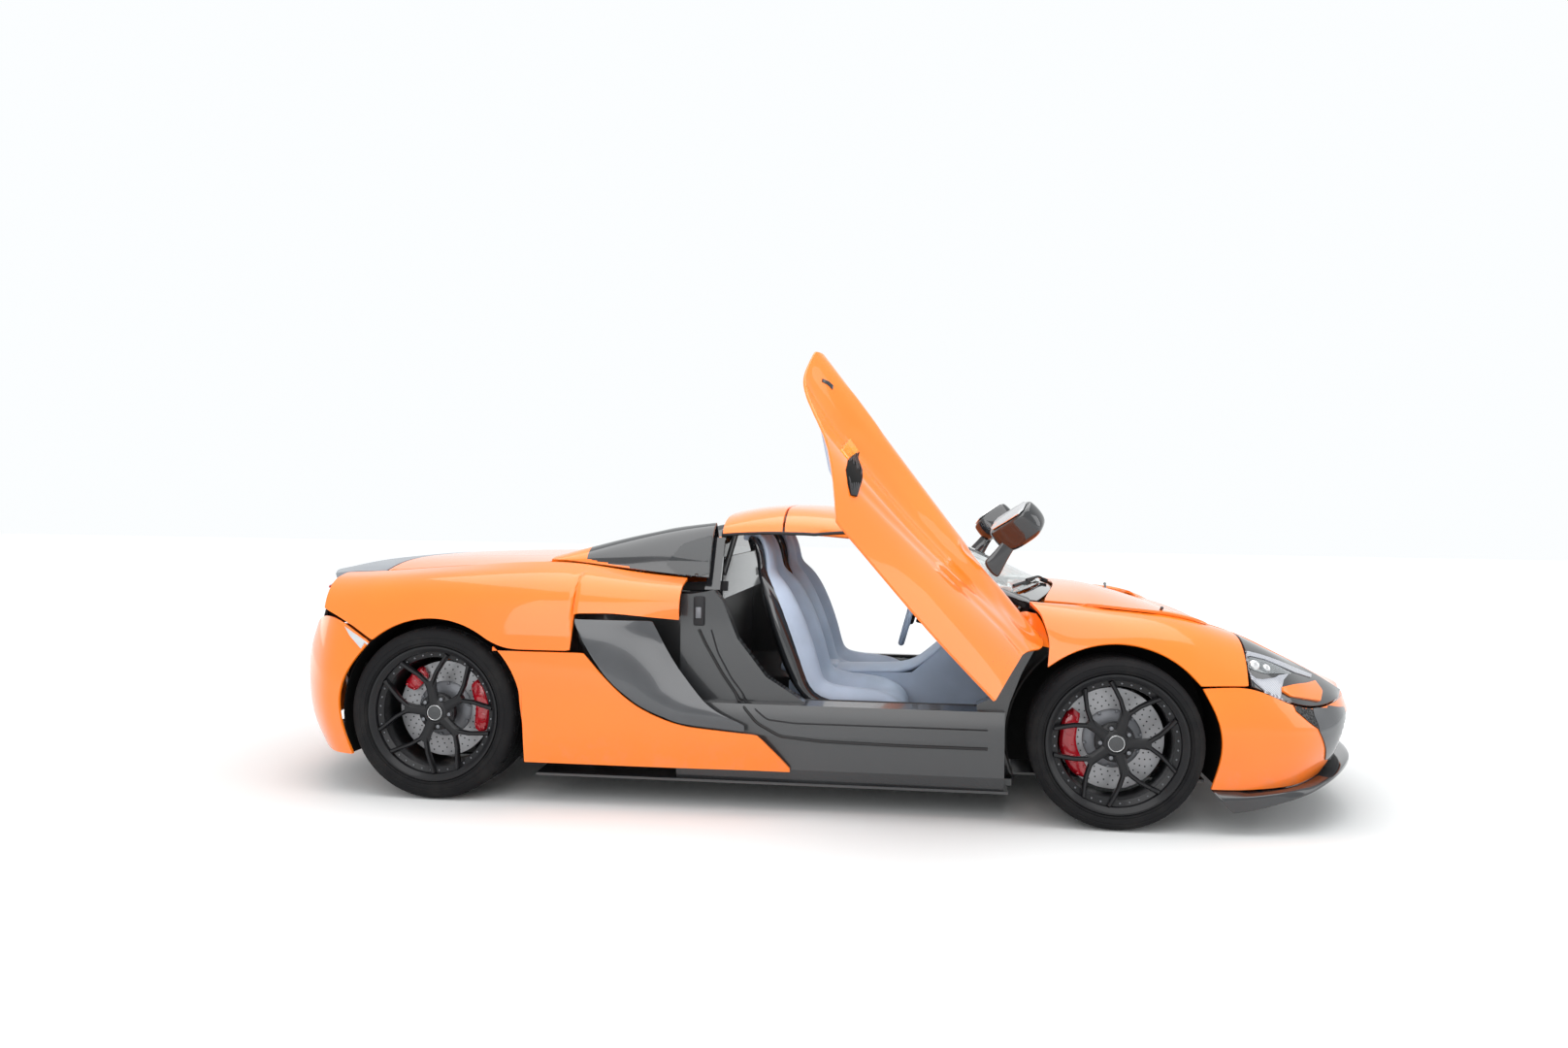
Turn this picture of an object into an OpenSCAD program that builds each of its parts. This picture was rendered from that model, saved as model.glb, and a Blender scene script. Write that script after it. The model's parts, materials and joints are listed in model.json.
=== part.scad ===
// Two-seat mid-engined roadster with a folding hard top and doors that swing up and forwards.
// Millimetres. +X is forwards, +Y is to the car's left, +Z is up, and the ground is z = 0.

/* [Wheels] */
// Distance between the front and rear axles
wheelbase = 2670; // [2600:10:2740]
// Place of the front axle ahead of the car's middle
front_axle_x = 1213; // [1190:1:1230]
// Radius of a front tyre
front_tyre_r = 323; // [310:1:330]
// Radius of a rear tyre
rear_tyre_r = 345; // [330:1:352]
// Width of a front tyre
front_tyre_w = 235; // [215:1:245]
// Width of a rear tyre
rear_tyre_w = 305; // [275:1:310]
// Radius of the rim's outer lip at the front
front_rim_r = 262; // [250:1:270]
// Radius of the rim's outer lip at the rear
rear_rim_r = 270; // [255:1:276]
// Half the distance between the outer faces of a pair of tyres
tyre_face_y = 938; // [925:1:945]
// Number of forked spokes in a wheel
spoke_count = 5; // [4:1:7]
// Largest steering angle of a front wheel
steer_max = 30; // [20:1:32]
// Radius of a brake disc
disc_r = 195; // [160:1:205]
// Thickness of a brake disc
disc_t = 34; // [24:1:38]

/* [Body] */
// Length of the whole car
car_length = 4512; // [4480:1:4540]
// Thickness of the outer panels
panel_t = 12; // [8:1:16]
// Gap between neighbouring panels
gap = 6; // [4:1:8]
// Radius of the front wheel arch
front_arch_r = 376; // [365:1:385]
// Radius of the rear wheel arch
rear_arch_r = 384; // [372:1:392]
// Clearance between a fixed piece and the pad or face that carries it
seat_gap = 0.3; // [0.1:0.1:0.8]
// Clearance all round a turning pin in its bore
run_gap = 0.3; // [0.1:0.1:0.8]
// Height of the side panels' bottom edge
sill_z = 165; // [150:1:175]

/* [Doors] */
// Angle through which a door swings open
door_open = 72; // [0:1:72]
// Thickness of the door's inner trim
door_trim_t = 40; // [30:1:60]

/* [Cabin] */
// Distance from the car's middle to a seat's middle
seat_y = 370; // [340:5:400]
// Width of a seat
seat_w = 500; // [440:10:520]
// Diameter of the steering wheel
steering_wheel_d = 360; // [340:5:380]

/* [Hidden] */
$fn = 48;
rear_axle_x = front_axle_x - wheelbase;
nose_x = car_length / 2;
door_hinge = [825, 800, 785];
door_axis = [0.695, 0.531, -0.485];
lid_hinge = [920, 0, 797];
brake_y = 734;
spindle_r = 30;
spindle_end = 46;
hub_depth = 62;
floor_top = 142;
wheel_column = [415, 370, 680];
column_length = 150;

// ---------- curves and surfaces ----------

// A point on the smooth curve through p1 and p2, with p0 and p3 as neighbours
function blend4(p0, p1, p2, p3, t) =
    0.5 * (2 * p1 + (p2 - p0) * t + (2 * p0 - 5 * p1 + 4 * p2 - p3) * t * t
        + (3 * p1 - p0 - 3 * p2 + p3) * t * t * t);

// The smooth curve through a list, at place u, where whole numbers are the list's items
function along(list, u) =
    let (n = len(list) - 1, i = max(0, min(floor(u), n - 1)), t = u - i,
        before = i > 0 ? list[i - 1] : 2 * list[0] - list[1],
        after = i + 2 <= n ? list[i + 2] : 2 * list[n] - list[n - 1])
    blend4(before, list[i], list[i + 1], after, t);

// Slope at item i of a table of [x, value] rows
function slope(table, i) =
    let (n = len(table) - 1, a = max(0, i - 1), b = min(n, i + 1))
    (table[b][1] - table[a][1]) / (table[b][0] - table[a][0]);

// The smooth curve through a table of [x, value] rows in rising x
function at_x(table, x) =
    let (n = len(table) - 1, below = [for (i = [0 : n - 1]) if (table[i][0] <= x) i],
        i = len(below) > 0 ? below[len(below) - 1] : 0,
        h = table[i + 1][0] - table[i][0], t = (x - table[i][0]) / h)
    (2 * t ^ 3 - 3 * t ^ 2 + 1) * table[i][1] + (t ^ 3 - 2 * t ^ 2 + t) * h * slope(table, i)
        + (3 * t ^ 2 - 2 * t ^ 3) * table[i + 1][1] + (t ^ 3 - t ^ 2) * h * slope(table, i + 1);

// The straight-sided curve through a table of [x, value] rows
function line_at(table, x) = lookup(x, table);

function steps(a, b, n) = [for (i = [0 : n]) a + (b - a) * i / n];

// Unit normal of a grid of points at column i and row j
function grid_normal(g, i, j) =
    let (c = len(g) - 1, r = len(g[0]) - 1,
        du = g[min(c, i + 1)][j] - g[max(0, i - 1)][j],
        dv = g[i][min(r, j + 1)] - g[i][max(0, j - 1)],
        n = cross(du, dv))
    n / max(norm(n), 0.001);

// Centre of a ball of radius r that stands seat_gap clear of a skin's inner face at one grid point
function pad_at(g, i, j, thick, r, flip) =
    g[i][j] - (flip ? -1 : 1) * (thick + seat_gap + r) * grid_normal(g, i, j);

// A round bar with a ball end that carries a skin at one grid point
module stay(g, i, j, thick, from, flip = true, r = 9) {
    p = pad_at(g, i, j, thick, r + 2, flip);
    translate(p) sphere(r = r + 2);
    arm(from, p, r);
}

module arm(a, b, r) {
    d = b - a;
    translate(a) rotate([0, acos(d[2] / norm(d)), atan2(d[1], d[0])]) cylinder(r = r, h = norm(d));
}

// The grid moved outwards by e along its normals, with its first and last rows moved out by e too
function grown(g, e, flip) =
    [for (i = [0 : len(g) - 1]) let (n = len(g[i]) - 1)
        [for (j = [0 : n]) let (p = g[i][j],
            side = j == 0 ? p - g[i][1] : j == n ? p - g[i][n - 1] : [0, 0, 0])
            p + e * side / max(norm(side), 0.001) + (flip ? -1 : 1) * e * grid_normal(g, i, j)]];

// A closed skin: the grid is its outer face and thick is its wall, inwards along the normals.
// flip turns the wall to the other side.
module skin(g, thick, flip = false) {
    c = len(g);
    r = len(g[0]);
    s = flip ? -1 : 1;
    outer = [for (i = [0 : c - 1]) for (j = [0 : r - 1]) g[i][j]];
    inner = [for (i = [0 : c - 1]) for (j = [0 : r - 1]) g[i][j] - s * thick * grid_normal(g, i, j)];
    slab(c, r, outer, inner, flip);
}

function flat(g) = [for (column = g) each column];

// A closed solid between two grids with the same numbers of columns and rows
module slab(c, r, outer, inner, flip = false) {
    n = c * r;
    front = [for (i = [0 : c - 2]) for (j = [0 : r - 2]) let (a = i * r + j, b = a + r)
        each [[a, b, b + 1], [a, b + 1, a + 1]]];
    back = [for (f = front) [f[2] + n, f[1] + n, f[0] + n]];
    ends = [for (i = [0 : c - 2]) let (a = i * r, b = a + r, d = a + r - 1, e = d + r)
        each [[a, a + n, b + n], [a, b + n, b], [d, e, e + n], [d, e + n, d + n]]];
    sides = [for (j = [0 : r - 2]) let (a = j, b = (c - 1) * r + j)
        each [[a, a + 1, a + 1 + n], [a, a + 1 + n, a + n], [b, b + n, b + 1 + n], [b, b + 1 + n, b + 1]]];
    faces = concat(front, back, ends, sides);
    polyhedron(concat(outer, inner), flip ? faces : [for (f = faces) [f[2], f[1], f[0]]]);
}

module both_sides() {
    children();
    mirror([0, 1, 0]) children();
}

module right_side() { mirror([0, 1, 0]) children(); }

// ---------- the body's side, on the car's left ----------

// Cross-sections of the side, from the bottom edge to the edge beside the bonnet or the glass
body_side = [
    [-1950, [[840, 190], [885, 310], [903, 450], [905, 590], [888, 710], [850, 810], [780, 868], [680, 890]]],
    [-1750, [[900, 165], [932, 300], [944, 450], [943, 600], [928, 720], [890, 820], [815, 880], [700, 902]]],
    [-1440, [[925, 160], [947, 300], [955, 450], [955, 600], [945, 720], [915, 825], [840, 898], [720, 928]]],
    [-1000, [[925, 160], [947, 290], [955, 430], [953, 580], [944, 710], [922, 815], [848, 905], [730, 955]]],
    [-600, [[920, 160], [943, 290], [948, 420], [940, 560], [925, 690], [918, 795], [862, 875], [745, 912]]],
    [-300, [[912, 165], [936, 290], [935, 410], [888, 540], [842, 665], [902, 785], [855, 860], [748, 890]]],
    [100, [[905, 165], [930, 290], [925, 410], [872, 540], [828, 655], [882, 770], [832, 848], [742, 880]]],
    [500, [[900, 165], [925, 290], [922, 420], [880, 550], [842, 650], [866, 755], [815, 835], [732, 868]]],
    [850, [[915, 165], [935, 300], [935, 440], [905, 575], [868, 675], [858, 760], [795, 825], [712, 850]]],
    [1000, [[925, 165], [940, 300], [942, 450], [926, 595], [894, 695], [850, 772], [775, 820], [690, 832]]],
    [1213, [[930, 165], [945, 300], [948, 450], [940, 600], [908, 715], [842, 785], [750, 816], [645, 815]]],
    [1450, [[922, 160], [938, 300], [940, 450], [926, 590], [888, 700], [820, 765], [730, 795], [625, 790]]],
    [1700, [[885, 160], [905, 300], [905, 430], [882, 550], [835, 635], [770, 690], [690, 715], [600, 722]]],
];

function side_section(x) = at_x(body_side, x);
function side_point(section, x, v) = let (p = along(section, v)) [x, p[0], p[1]];

// The place on a section, counted in its points, at height z; z rises all the way
function place_at_z(section, z, low = 0, high = 7, n = 12) =
    n == 0 ? (low + high) / 2
    : let (mid = (low + high) / 2)
        along(section, mid)[1] < z ? place_at_z(section, z, mid, high, n - 1)
        : place_at_z(section, z, low, mid, n - 1);

// Height of an arch's edge over its axle at x, or the sill's height outside it
function arch_z(x, axle_x, axle_z, r) =
    abs(x - axle_x) < r ? max(sill_z, axle_z + sqrt(r * r - (x - axle_x) ^ 2)) : sill_z;

// A grid of points on the body's side: a column at each x, rows from low(x) to high(x) in height
function side_grid(xs, low, high, rows) =
    [for (x = xs) let (s = side_section(x), a = place_at_z(s, low(x)), b = high(x))
        [for (j = [0 : rows]) side_point(s, x, a + (b - a) * j / rows)]];

// Columns spaced evenly round an arch, from angle a to angle b over the axle
function arch_columns(axle_x, r, a, b, n) = [for (t = steps(a, b, n)) axle_x + r * cos(t)];

// ---------- panels ----------

orange = "#ff7a1e";
carbon = "#1d1f21";
trim_black = "#111213";
grey_metal = "#8d9196";
blue_leather = "#9fb0c4";
glass_tint = [0.25, 0.3, 0.3, 0.4];

// A grid over a cage of points: m columns and n rows, from row low(u) up to the cage's last row
function cage_grid(cage, m, n, low = function (u) 0, high = function (u) 99) =
    let (cols = len(cage) - 1, rows = len(cage[0]) - 1)
    [for (u = steps(0, cols, m)) let (line = [for (k = [0 : rows]) along([for (c = cage) c[k]], u)],
        a = low(u), b = min(rows, high(u)))
        [for (v = steps(a, b, n)) along(line, v)]];

function mirrored(cage) = concat(cage, [for (i = [len(cage) - 2 : -1 : 0]) [for (p = cage[i]) [p[0], -p[1], p[2]]]]);

function front_fender_grid() = let (
    low = function (x) x < 1514 ? arch_z(x, front_axle_x, front_tyre_r, front_arch_r) : 551,
    columns = concat(arch_columns(front_axle_x, front_arch_r, 132, 37, 16), [1570, 1630, 1690]),
    plain = side_grid(columns, low, function (x) 7, 8),
    rear = columns[0])
    [for (i = [0 : len(columns) - 1]) [for (p = plain[i])
        let (x = p[0] + (line_at(door_front, p[2]) + gap - rear) * max(0, 1 - (p[0] - rear) / 220),
            s = side_section(x), v = place_at_z(s, p[2]))
        p[2] < 620 && i > 0 ? p : side_point(s, x, v)]];

module front_fender() { skin(front_fender_grid(), panel_t, true); }

module front_fenders() { color(orange) both_sides() front_fender(); }

intake_low = [[-881, 745], [-841, 656], [-741, 506], [-603, 400], [-447, 340], [-134, 313], [4, 165]];
intake_top = [[-881, 762], [-724, 766], [-452, 742], [-364, 742]];
blade_edge = [[-560, 739], [-489, 590], [-333, 406], [-160, 329]];
rear_shut = [[-1970, 762], [-1924, 742], [-1819, 701], [-1710, 637]];
shut_z = 615;

function rear_fender_grid() = let (
    low = function (x)
        x < -1712 ? line_at(rear_shut, x)
        : x < rear_axle_x + rear_arch_r * 0.62 ? arch_z(x, rear_axle_x, rear_tyre_r, rear_arch_r)
        : x < -881 ? shut_z : line_at(intake_top, x),
    columns = concat([-1950, -1880, -1800], arch_columns(rear_axle_x, rear_arch_r, 131, 52, 14),
        [-1150, -1050, -960, -885, -876], steps(-800, -458, 5)))
    side_grid(columns, low, function (x) 7, 8);

module rear_fender() { skin(rear_fender_grid(), panel_t, true); }

module rear_fenders() { color(orange) both_sides() rear_fender(); }

function side_panel_grid() = let (
    top = function (x) x < -881 ? shut_z - gap : min(shut_z - gap, line_at(intake_low, x) - gap),
    low = function (x)
        x < rear_axle_x + rear_arch_r - 1 ? arch_z(x, rear_axle_x, rear_tyre_r, rear_arch_r) : sill_z,
    columns = concat(arch_columns(rear_axle_x, rear_arch_r, 47, 4, 7), [-1070, -1000, -900],
        steps(-830, -140, 10), [-70, -14]))
    [for (x = columns) let (s = side_section(x), a = place_at_z(s, low(x)), b = place_at_z(s, top(x)))
        [for (j = [0 : 6]) side_point(s, x, a + (b - a) * j / 6)]];

module side_panel() { skin(side_panel_grid(), panel_t, true); }

module side_panels() { color(orange) both_sides() side_panel(); }

function intake_grid() = [for (x = concat([-872, -855], steps(-830, -190, 12)))
    let (s = side_section(x), bottom = line_at(intake_low, x) + 2,
        top = max(bottom + 14, min(line_at(intake_top, x) - gap, line_at(blade_edge, x))),
        a = place_at_z(s, bottom), b = place_at_z(s, top))
    [for (j = [0 : 5]) side_point(s, x, a + (b - a) * j / 5) - [0, 4, 0]]];

module side_intake() { skin(intake_grid(), panel_t, true); }

module side_intakes() { color(carbon) both_sides() side_intake(); }

bumper_cage = [
    [[1556, 908, 165], [1584, 928, 270], [1590, 934, 350], [1572, 932, 440], [1518, 918, 542]],
    [[1680, 892, 165], [1690, 908, 270], [1695, 912, 350], [1700, 908, 430], [1700, 884, 542]],
    [[1850, 830, 172], [1870, 850, 270], [1880, 858, 350], [1880, 852, 420], [1860, 836, 478]],
    [[1960, 745, 190], [1990, 765, 270], [2000, 775, 350], [1995, 770, 410], [1975, 745, 456]],
    [[2055, 620, 215], [2090, 640, 280], [2100, 650, 350], [2100, 650, 410], [2075, 640, 468]],
    [[2130, 450, 230], [2165, 460, 290], [2178, 465, 350], [2178, 465, 408], [2160, 455, 468]],
    [[2185, 230, 235], [2220, 235, 290], [2232, 240, 350], [2232, 240, 406], [2216, 235, 464]],
    [[2200, 0, 235], [2238, 0, 290], [2250, 0, 350], [2250, 0, 406], [2232, 0, 463]],
];

function nose_low(u) = let (full = len(bumper_cage) * 2 - 2, w = min(u, full - u))
    w < 3.4 ? 0 : min(3.1, (w - 3.4) * 4);
function bumper_grid() = cage_grid(mirrored(bumper_cage), 42, 6, function (u) nose_low(u));

module front_bumper() { color(orange) skin(bumper_grid(), panel_t, true); }

grille_t = 8;
function front_grille_grid() = cage_grid(mirrored(
    [for (i = [3 : 7]) [for (k = [0 : 3]) bumper_cage[i][k] - [34, 0, 0]]]), 16, 3);

module front_grille() { color(trim_black) skin(front_grille_grid(), grille_t, true); }

lip_t = 11;
lip_edge = [[1632, 928, 86], [1735, 914, 104], [1905, 862, 148], [2020, 775, 186], [2115, 640, 212],
    [2190, 465, 222], [2238, 240, 223], [2254, 0, 223]];
lip_under = [[1632, 800, 84], [1720, 780, 98], [1850, 720, 122], [1950, 630, 150], [2040, 510, 172],
    [2100, 370, 186], [2140, 190, 196], [2150, 0, 198]];
lip_inner = [[1640, 560, 98], [1700, 540, 104], [1770, 500, 110], [1830, 450, 115], [1880, 370, 118],
    [1910, 270, 120], [1930, 140, 122], [1940, 0, 122]];

function splitter_top() = cage_grid(mirrored([for (i = [0 : 7])
    [lip_edge[i] + [-2, 0, lip_t], bumper_cage[i][0] - [0, 0, 2 * seat_gap], lip_inner[i] + [0, 0, lip_t]]]), 42, 4);
function splitter_under() = cage_grid(mirrored([for (i = [0 : 7]) [lip_edge[i], lip_under[i], lip_inner[i]]]), 42, 4);

module splitter() { color(trim_black) slab(43, 5, flat(splitter_under()), flat(splitter_top())); }

light_cage = [
    [[1702, 880, 550], [1702, 812, 650], [1702, 700, 712], [1702, 606, 719]],
    [[1860, 830, 486], [1860, 760, 574], [1856, 670, 634], [1852, 590, 648]],
    [[1977, 740, 464], [1985, 680, 512], [1990, 610, 556], [1992, 555, 580]],
    [[2078, 634, 476], [2086, 590, 490], [2095, 545, 506], [2100, 505, 520]],
    [[2140, 490, 482], [2143, 482, 484], [2146, 474, 487], [2150, 464, 490]],
];

function light_grid() = cage_grid(light_cage, 12, 6);

module headlights() { color(trim_black) both_sides() skin(light_grid(), panel_t, true); }

bonnet_edge = [[900, 655], [1000, 655], [1213, 639], [1450, 619], [1700, 594], [1850, 579], [1990, 544],
    [2100, 494], [2150, 452]];
bonnet_side_z = [[900, 836], [1000, 833], [1213, 815], [1450, 790], [1700, 722], [1850, 652], [1990, 583],
    [2100, 521], [2150, 491]];
bonnet_mid_z = [[900, 890], [1060, 878], [1213, 864], [1450, 800], [1700, 702], [1850, 632], [1990, 568],
    [2100, 524], [2230, 484]];

function bonnet_grid() = [for (f = steps(-1, 1, 18))
    let (rear = 1050 - 95 * f * f + 9 * abs(f) ^ 12, front = 2142 + 76 * (1 - abs(f) ^ 2.2))
    [for (x = steps(rear, front, 18))
        let (c = at_x(bonnet_mid_z, x), e = at_x(bonnet_side_z, min(x, 2150)))
        [x, f * at_x(bonnet_edge, min(x, 2150)), c + (e - c) * abs(f) ^ 2.6]]];

// One gooseneck arm of the bonnet, from its hinge pin forwards under the cowl and up to the lid
module lid_arm() {
    translate([0, 306, 0]) rotate([90, 0, 0]) linear_extrude(12) difference() {
        union() {
            translate([lid_hinge[0], lid_hinge[2]]) circle(r = 13);
            polygon([[916, 786], [1040, 722], [1062, 722], [1062, 864], [1050, 864], [1048, 738], [926, 805]]);
        }
        translate([lid_hinge[0], lid_hinge[2]]) circle(r = 7 + run_gap);
    }
}

module bonnet() {
    color(orange) resize([0, 0, 0]) union() {
        skin(bonnet_grid(), panel_t, true);
        both_sides() lid_arm();
    }
}

module luggage_tub() {
    difference() {
        translate([846, -440, 240]) cube([674, 880, 470]);
        translate([858, -428, 252]) cube([650, 856, 500]);
    }
    for (s = [-1, 1]) translate([1500, s * 300 - 40, 240]) cube([420, 80, 90]);
    translate([1900, -420, 230]) cube([40, 840, 110]);
    both_sides() {
        translate([1000, 380, 170]) cube([430, 50, 71]);
        // bonnet hinge pins on posts
        translate([lid_hinge[0], 330, lid_hinge[2]]) rotate([90, 0, 0]) cylinder(r = 7, h = 40);
        translate([0, 330, 0]) rotate([90, 0, 0]) linear_extrude(14)
            polygon([[848, 690], [848, 710], [906, 808], [934, 808], [934, 780], [880, 690]]);
    }
}

cowl_t = 14;
function cowl_grid() = [for (f = steps(-1, 1, 16))
    let (glass_x = 1000 - 165 * f * f, lid_x = 1044 - 110 * f * f)
    [for (t = steps(0, 1, 3)) [glass_x + (lid_x - glass_x) * t, f * 676, 874 - 28 * f * f - 12 * t]]];

function windscreen_grid() = [for (f = steps(-1, 1, 12)) let (
    base = [998 - 165 * f * f, 640 * f, 880 - 28 * f * f],
    mid = [640 - 95 * f * f, 605 * f, 1038 - 70 * f * f],
    top = [262 - 6 * f * f, 553 * f, 1166 - 65 * f * f])
    [for (v = steps(0, 2, 10)) along([base, mid, top], v)]];

pillar_t = 36;
header_t = 30;
pillar_cage = [
    [[216, 600, 1056], [218, 582, 1090], [232, 556, 1112]],
    [[380, 622, 1000], [392, 606, 1024], [404, 584, 1040]],
    [[590, 646, 926], [600, 632, 944], [610, 614, 956]],
    [[770, 676, 864], [778, 664, 876], [786, 646, 884]],
    [[906, 706, 826], [906, 692, 836], [906, 668, 844]],
];
function pillar_grid() = cage_grid(pillar_cage, 12, 3);
function header_grid() = [for (f = steps(-1, 1, 16))
    [for (t = steps(0, 1, 3)) [214 + 44 * t, 572 * f, 1186 - 18 * t - (74 - 6 * t) * f * f]]];

module windscreen() {
    color(glass_tint) difference() {
        skin(windscreen_grid(), 5, true);
        both_sides() skin(grown(pillar_grid(), seat_gap, true), pillar_t + 2 * seat_gap, true);
        skin(grown(header_grid(), seat_gap, true), header_t + 2 * seat_gap, true);
        skin(grown(cowl_grid(), seat_gap, true), cowl_t + 2 * seat_gap, true);
    }
}

module windscreen_frame() {
    color(trim_black) resize([0, 0, 0]) union() {
        both_sides() skin(pillar_grid(), pillar_t, true);
        skin(header_grid(), header_t, true);
        skin(cowl_grid(), cowl_t, true);
        for (j = [6, 18]) stay(roof_grid(0.02, 1.97), 1, j, roof_t, header_grid()[j == 6 ? 13 : 3][1] - [0, 0, 14],
            false, 6, $fn = 12);
    }
}

roof_t = 16;
roof_cage = [
    [[208, 592, 1068], [208, 562, 1110], [208, 450, 1156], [208, 230, 1180], [208, 0, 1187]],
    [[60, 600, 1080], [60, 568, 1126], [60, 450, 1176], [60, 230, 1195], [60, 0, 1200]],
    [[-90, 604, 1086], [-90, 572, 1132], [-90, 450, 1184], [-90, 230, 1199], [-90, 0, 1203]],
    [[-230, 604, 1086], [-230, 572, 1128], [-230, 450, 1172], [-230, 230, 1188], [-230, 0, 1193]],
    [[-345, 600, 1078], [-345, 568, 1112], [-345, 450, 1148], [-345, 230, 1166], [-345, 0, 1172]],
];

function roof_grid(u0, u1) = [for (u = steps(u0, u1, 5))
    let (line = [for (k = [0 : 4]) along([for (c = roof_cage) c[k]], u)],
        whole = concat(line, [for (k = [3 : -1 : 0]) [line[k][0], -line[k][1], line[k][2]]]))
    [for (v = steps(0, 8, 24)) along(whole, v)]];

module roof() {
    color(orange) {
        skin(roof_grid(0.02, 1.97), roof_t, false);
        skin(roof_grid(2.03, 4), roof_t, false);
    }
}

lid_t = 14;
lid_cage = [
    [[-372, 738, 902], [-372, 702, 1000], [-372, 645, 1092], [-372, 580, 1124], [-374, 520, 1070],
        [-380, 440, 1003], [-386, 220, 992], [-388, 0, 990]],
    [[-550, 737, 916], [-550, 706, 1000], [-550, 652, 1070], [-550, 585, 1100], [-550, 520, 1050],
        [-550, 440, 1000], [-550, 220, 990], [-550, 0, 988]],
    [[-750, 734, 938], [-750, 710, 990], [-750, 662, 1036], [-750, 600, 1056], [-750, 530, 1020],
        [-750, 440, 988], [-750, 220, 984], [-750, 0, 984]],
    [[-950, 726, 960], [-950, 716, 974], [-950, 690, 988], [-950, 640, 1000], [-950, 560, 994],
        [-950, 440, 979], [-950, 220, 976], [-950, 0, 976]],
    [[-1038, 720, 964], [-1038, 712, 966], [-1038, 694, 970], [-1038, 650, 976], [-1038, 560, 975],
        [-1038, 440, 970], [-1038, 220, 969], [-1038, 0, 969]],
];
function lid_grid() = [for (u = steps(0, 4, 9))
    let (line = [for (k = [0 : 7]) along([for (c = lid_cage) c[k]], u)],
        whole = concat(line, [for (k = [6 : -1 : 0]) [line[k][0], -line[k][1], line[k][2]]]))
    [for (v = steps(0, 14, 28)) along(whole, v)]];

module tonneau_cover() { color(orange) skin(lid_grid(), lid_t, false); }

module rear_glass() {
    color(glass_tint) translate([-361, 0, 0]) rotate([90, 0, -90]) linear_extrude(5)
        polygon([[-530, 974 + seat_gap], [530, 974 + seat_gap], [500, 1092], [300, 1120], [-300, 1120], [-500, 1092]]);
}

deck_edge = [[-1950, 670], [-1750, 690], [-1440, 710], [-1000, 720]];
deck_side_z = [[-1950, 891], [-1750, 903], [-1440, 929], [-1050, 952]];
deck_mid_z = [[-2150, 882], [-1960, 930], [-1770, 948], [-1440, 962], [-1050, 968]];

function deck_point(x, f) = let (c = at_x(deck_mid_z, x), e = line_at(deck_side_z, x))
    [x, f * line_at(deck_edge, x), c + (e - c) * abs(f) ^ 4];

function deck_grid() =
    [for (f = steps(-1, 1, 16)) [for (x = steps(-1052, -1766, 9)) deck_point(x, f)]];

module engine_cover() { color(orange) skin(deck_grid(), panel_t, false); }

airbrake_t = 22;
function airbrake_grid() = [for (f = steps(-1, 1, 18))
    let (tail = -2140 + 120 * abs(f) ^ 3)
    [for (t = steps(0, 1, 8)) let (x = -1776 + (tail + 1776) * t,
        c = at_x(deck_mid_z, x), e = line_at([[-2030, 880], [-1950, 893], [-1776, 901]], x))
        [x, f * line_at([[-2150, 640], [-1950, 664], [-1770, 682]], x), c + (e - c) * abs(f) ^ 4]]];

module airbrake() { color(grey_metal) skin(airbrake_grid(), airbrake_t, false); }

rear_cage = [
    [[-1800, 915, 165], [-1840, 940, 290], [-1848, 948, 420], [-1802, 950, 530], [-1718, 946, 628]],
    [[-1890, 880, 165], [-1925, 905, 290], [-1936, 915, 420], [-1916, 916, 560], [-1872, 908, 712]],
    [[-1970, 800, 175], [-2010, 820, 290], [-2025, 830, 420], [-2020, 826, 570], [-1985, 822, 715]],
    [[-2050, 680, 195], [-2090, 700, 290], [-2105, 705, 420], [-2110, 700, 550], [-2085, 690, 650]],
    [[-2120, 520, 225], [-2160, 530, 300], [-2175, 535, 420], [-2180, 530, 540], [-2160, 520, 628]],
    [[-2160, 270, 235], [-2205, 275, 300], [-2225, 280, 420], [-2230, 275, 540], [-2210, 270, 622]],
    [[-2175, 0, 235], [-2225, 0, 300], [-2245, 0, 420], [-2252, 0, 540], [-2230, 0, 620]],
];

function rear_bumper_grid() = cage_grid(mirrored(rear_cage), 36, 6);

module rear_bumper() { color(orange) skin(rear_bumper_grid(), panel_t, false); }

rear_panel_cage = [
    [[-1970, 822, 742], [-1968, 810, 795], [-1966, 786, 846]],
    [[-2060, 695, 664], [-2030, 690, 765], [-2004, 680, 850]],
    [[-2135, 520, 640], [-2095, 515, 755], [-2055, 505, 850]],
    [[-2185, 270, 634], [-2140, 266, 755], [-2095, 262, 850]],
    [[-2205, 0, 632], [-2158, 0, 755], [-2112, 0, 850]],
];

rear_grille_t = 10;
lamp_t = 7;
function rear_grille_grid() = cage_grid(mirrored(rear_panel_cage), 16, 4);

module rear_grille() {
    color(trim_black) resize([0, 0, 0]) difference() {
        skin(rear_grille_grid(), rear_grille_t, false);
        both_sides() translate([-2300, pipe_y, pipe_z]) rotate([0, 90, 0]) cylinder(r = pipe_r + 3, h = 400);
    }
}

module tail_lights() {
    g = rear_grille_grid();
    color("#a01010") both_sides() skin([for (i = [0 : 4]) [for (j = [3 : 4]) let (p = g[i][j], q = g[i][j - 1])
        (j == 3 ? p + (g[i][4] - p) * 0.35 : p - (p - q) * 0.25) + (lamp_t + 3.3 * seat_gap) * grid_normal(g, i, j)]],
        lamp_t, false);
}

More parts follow.
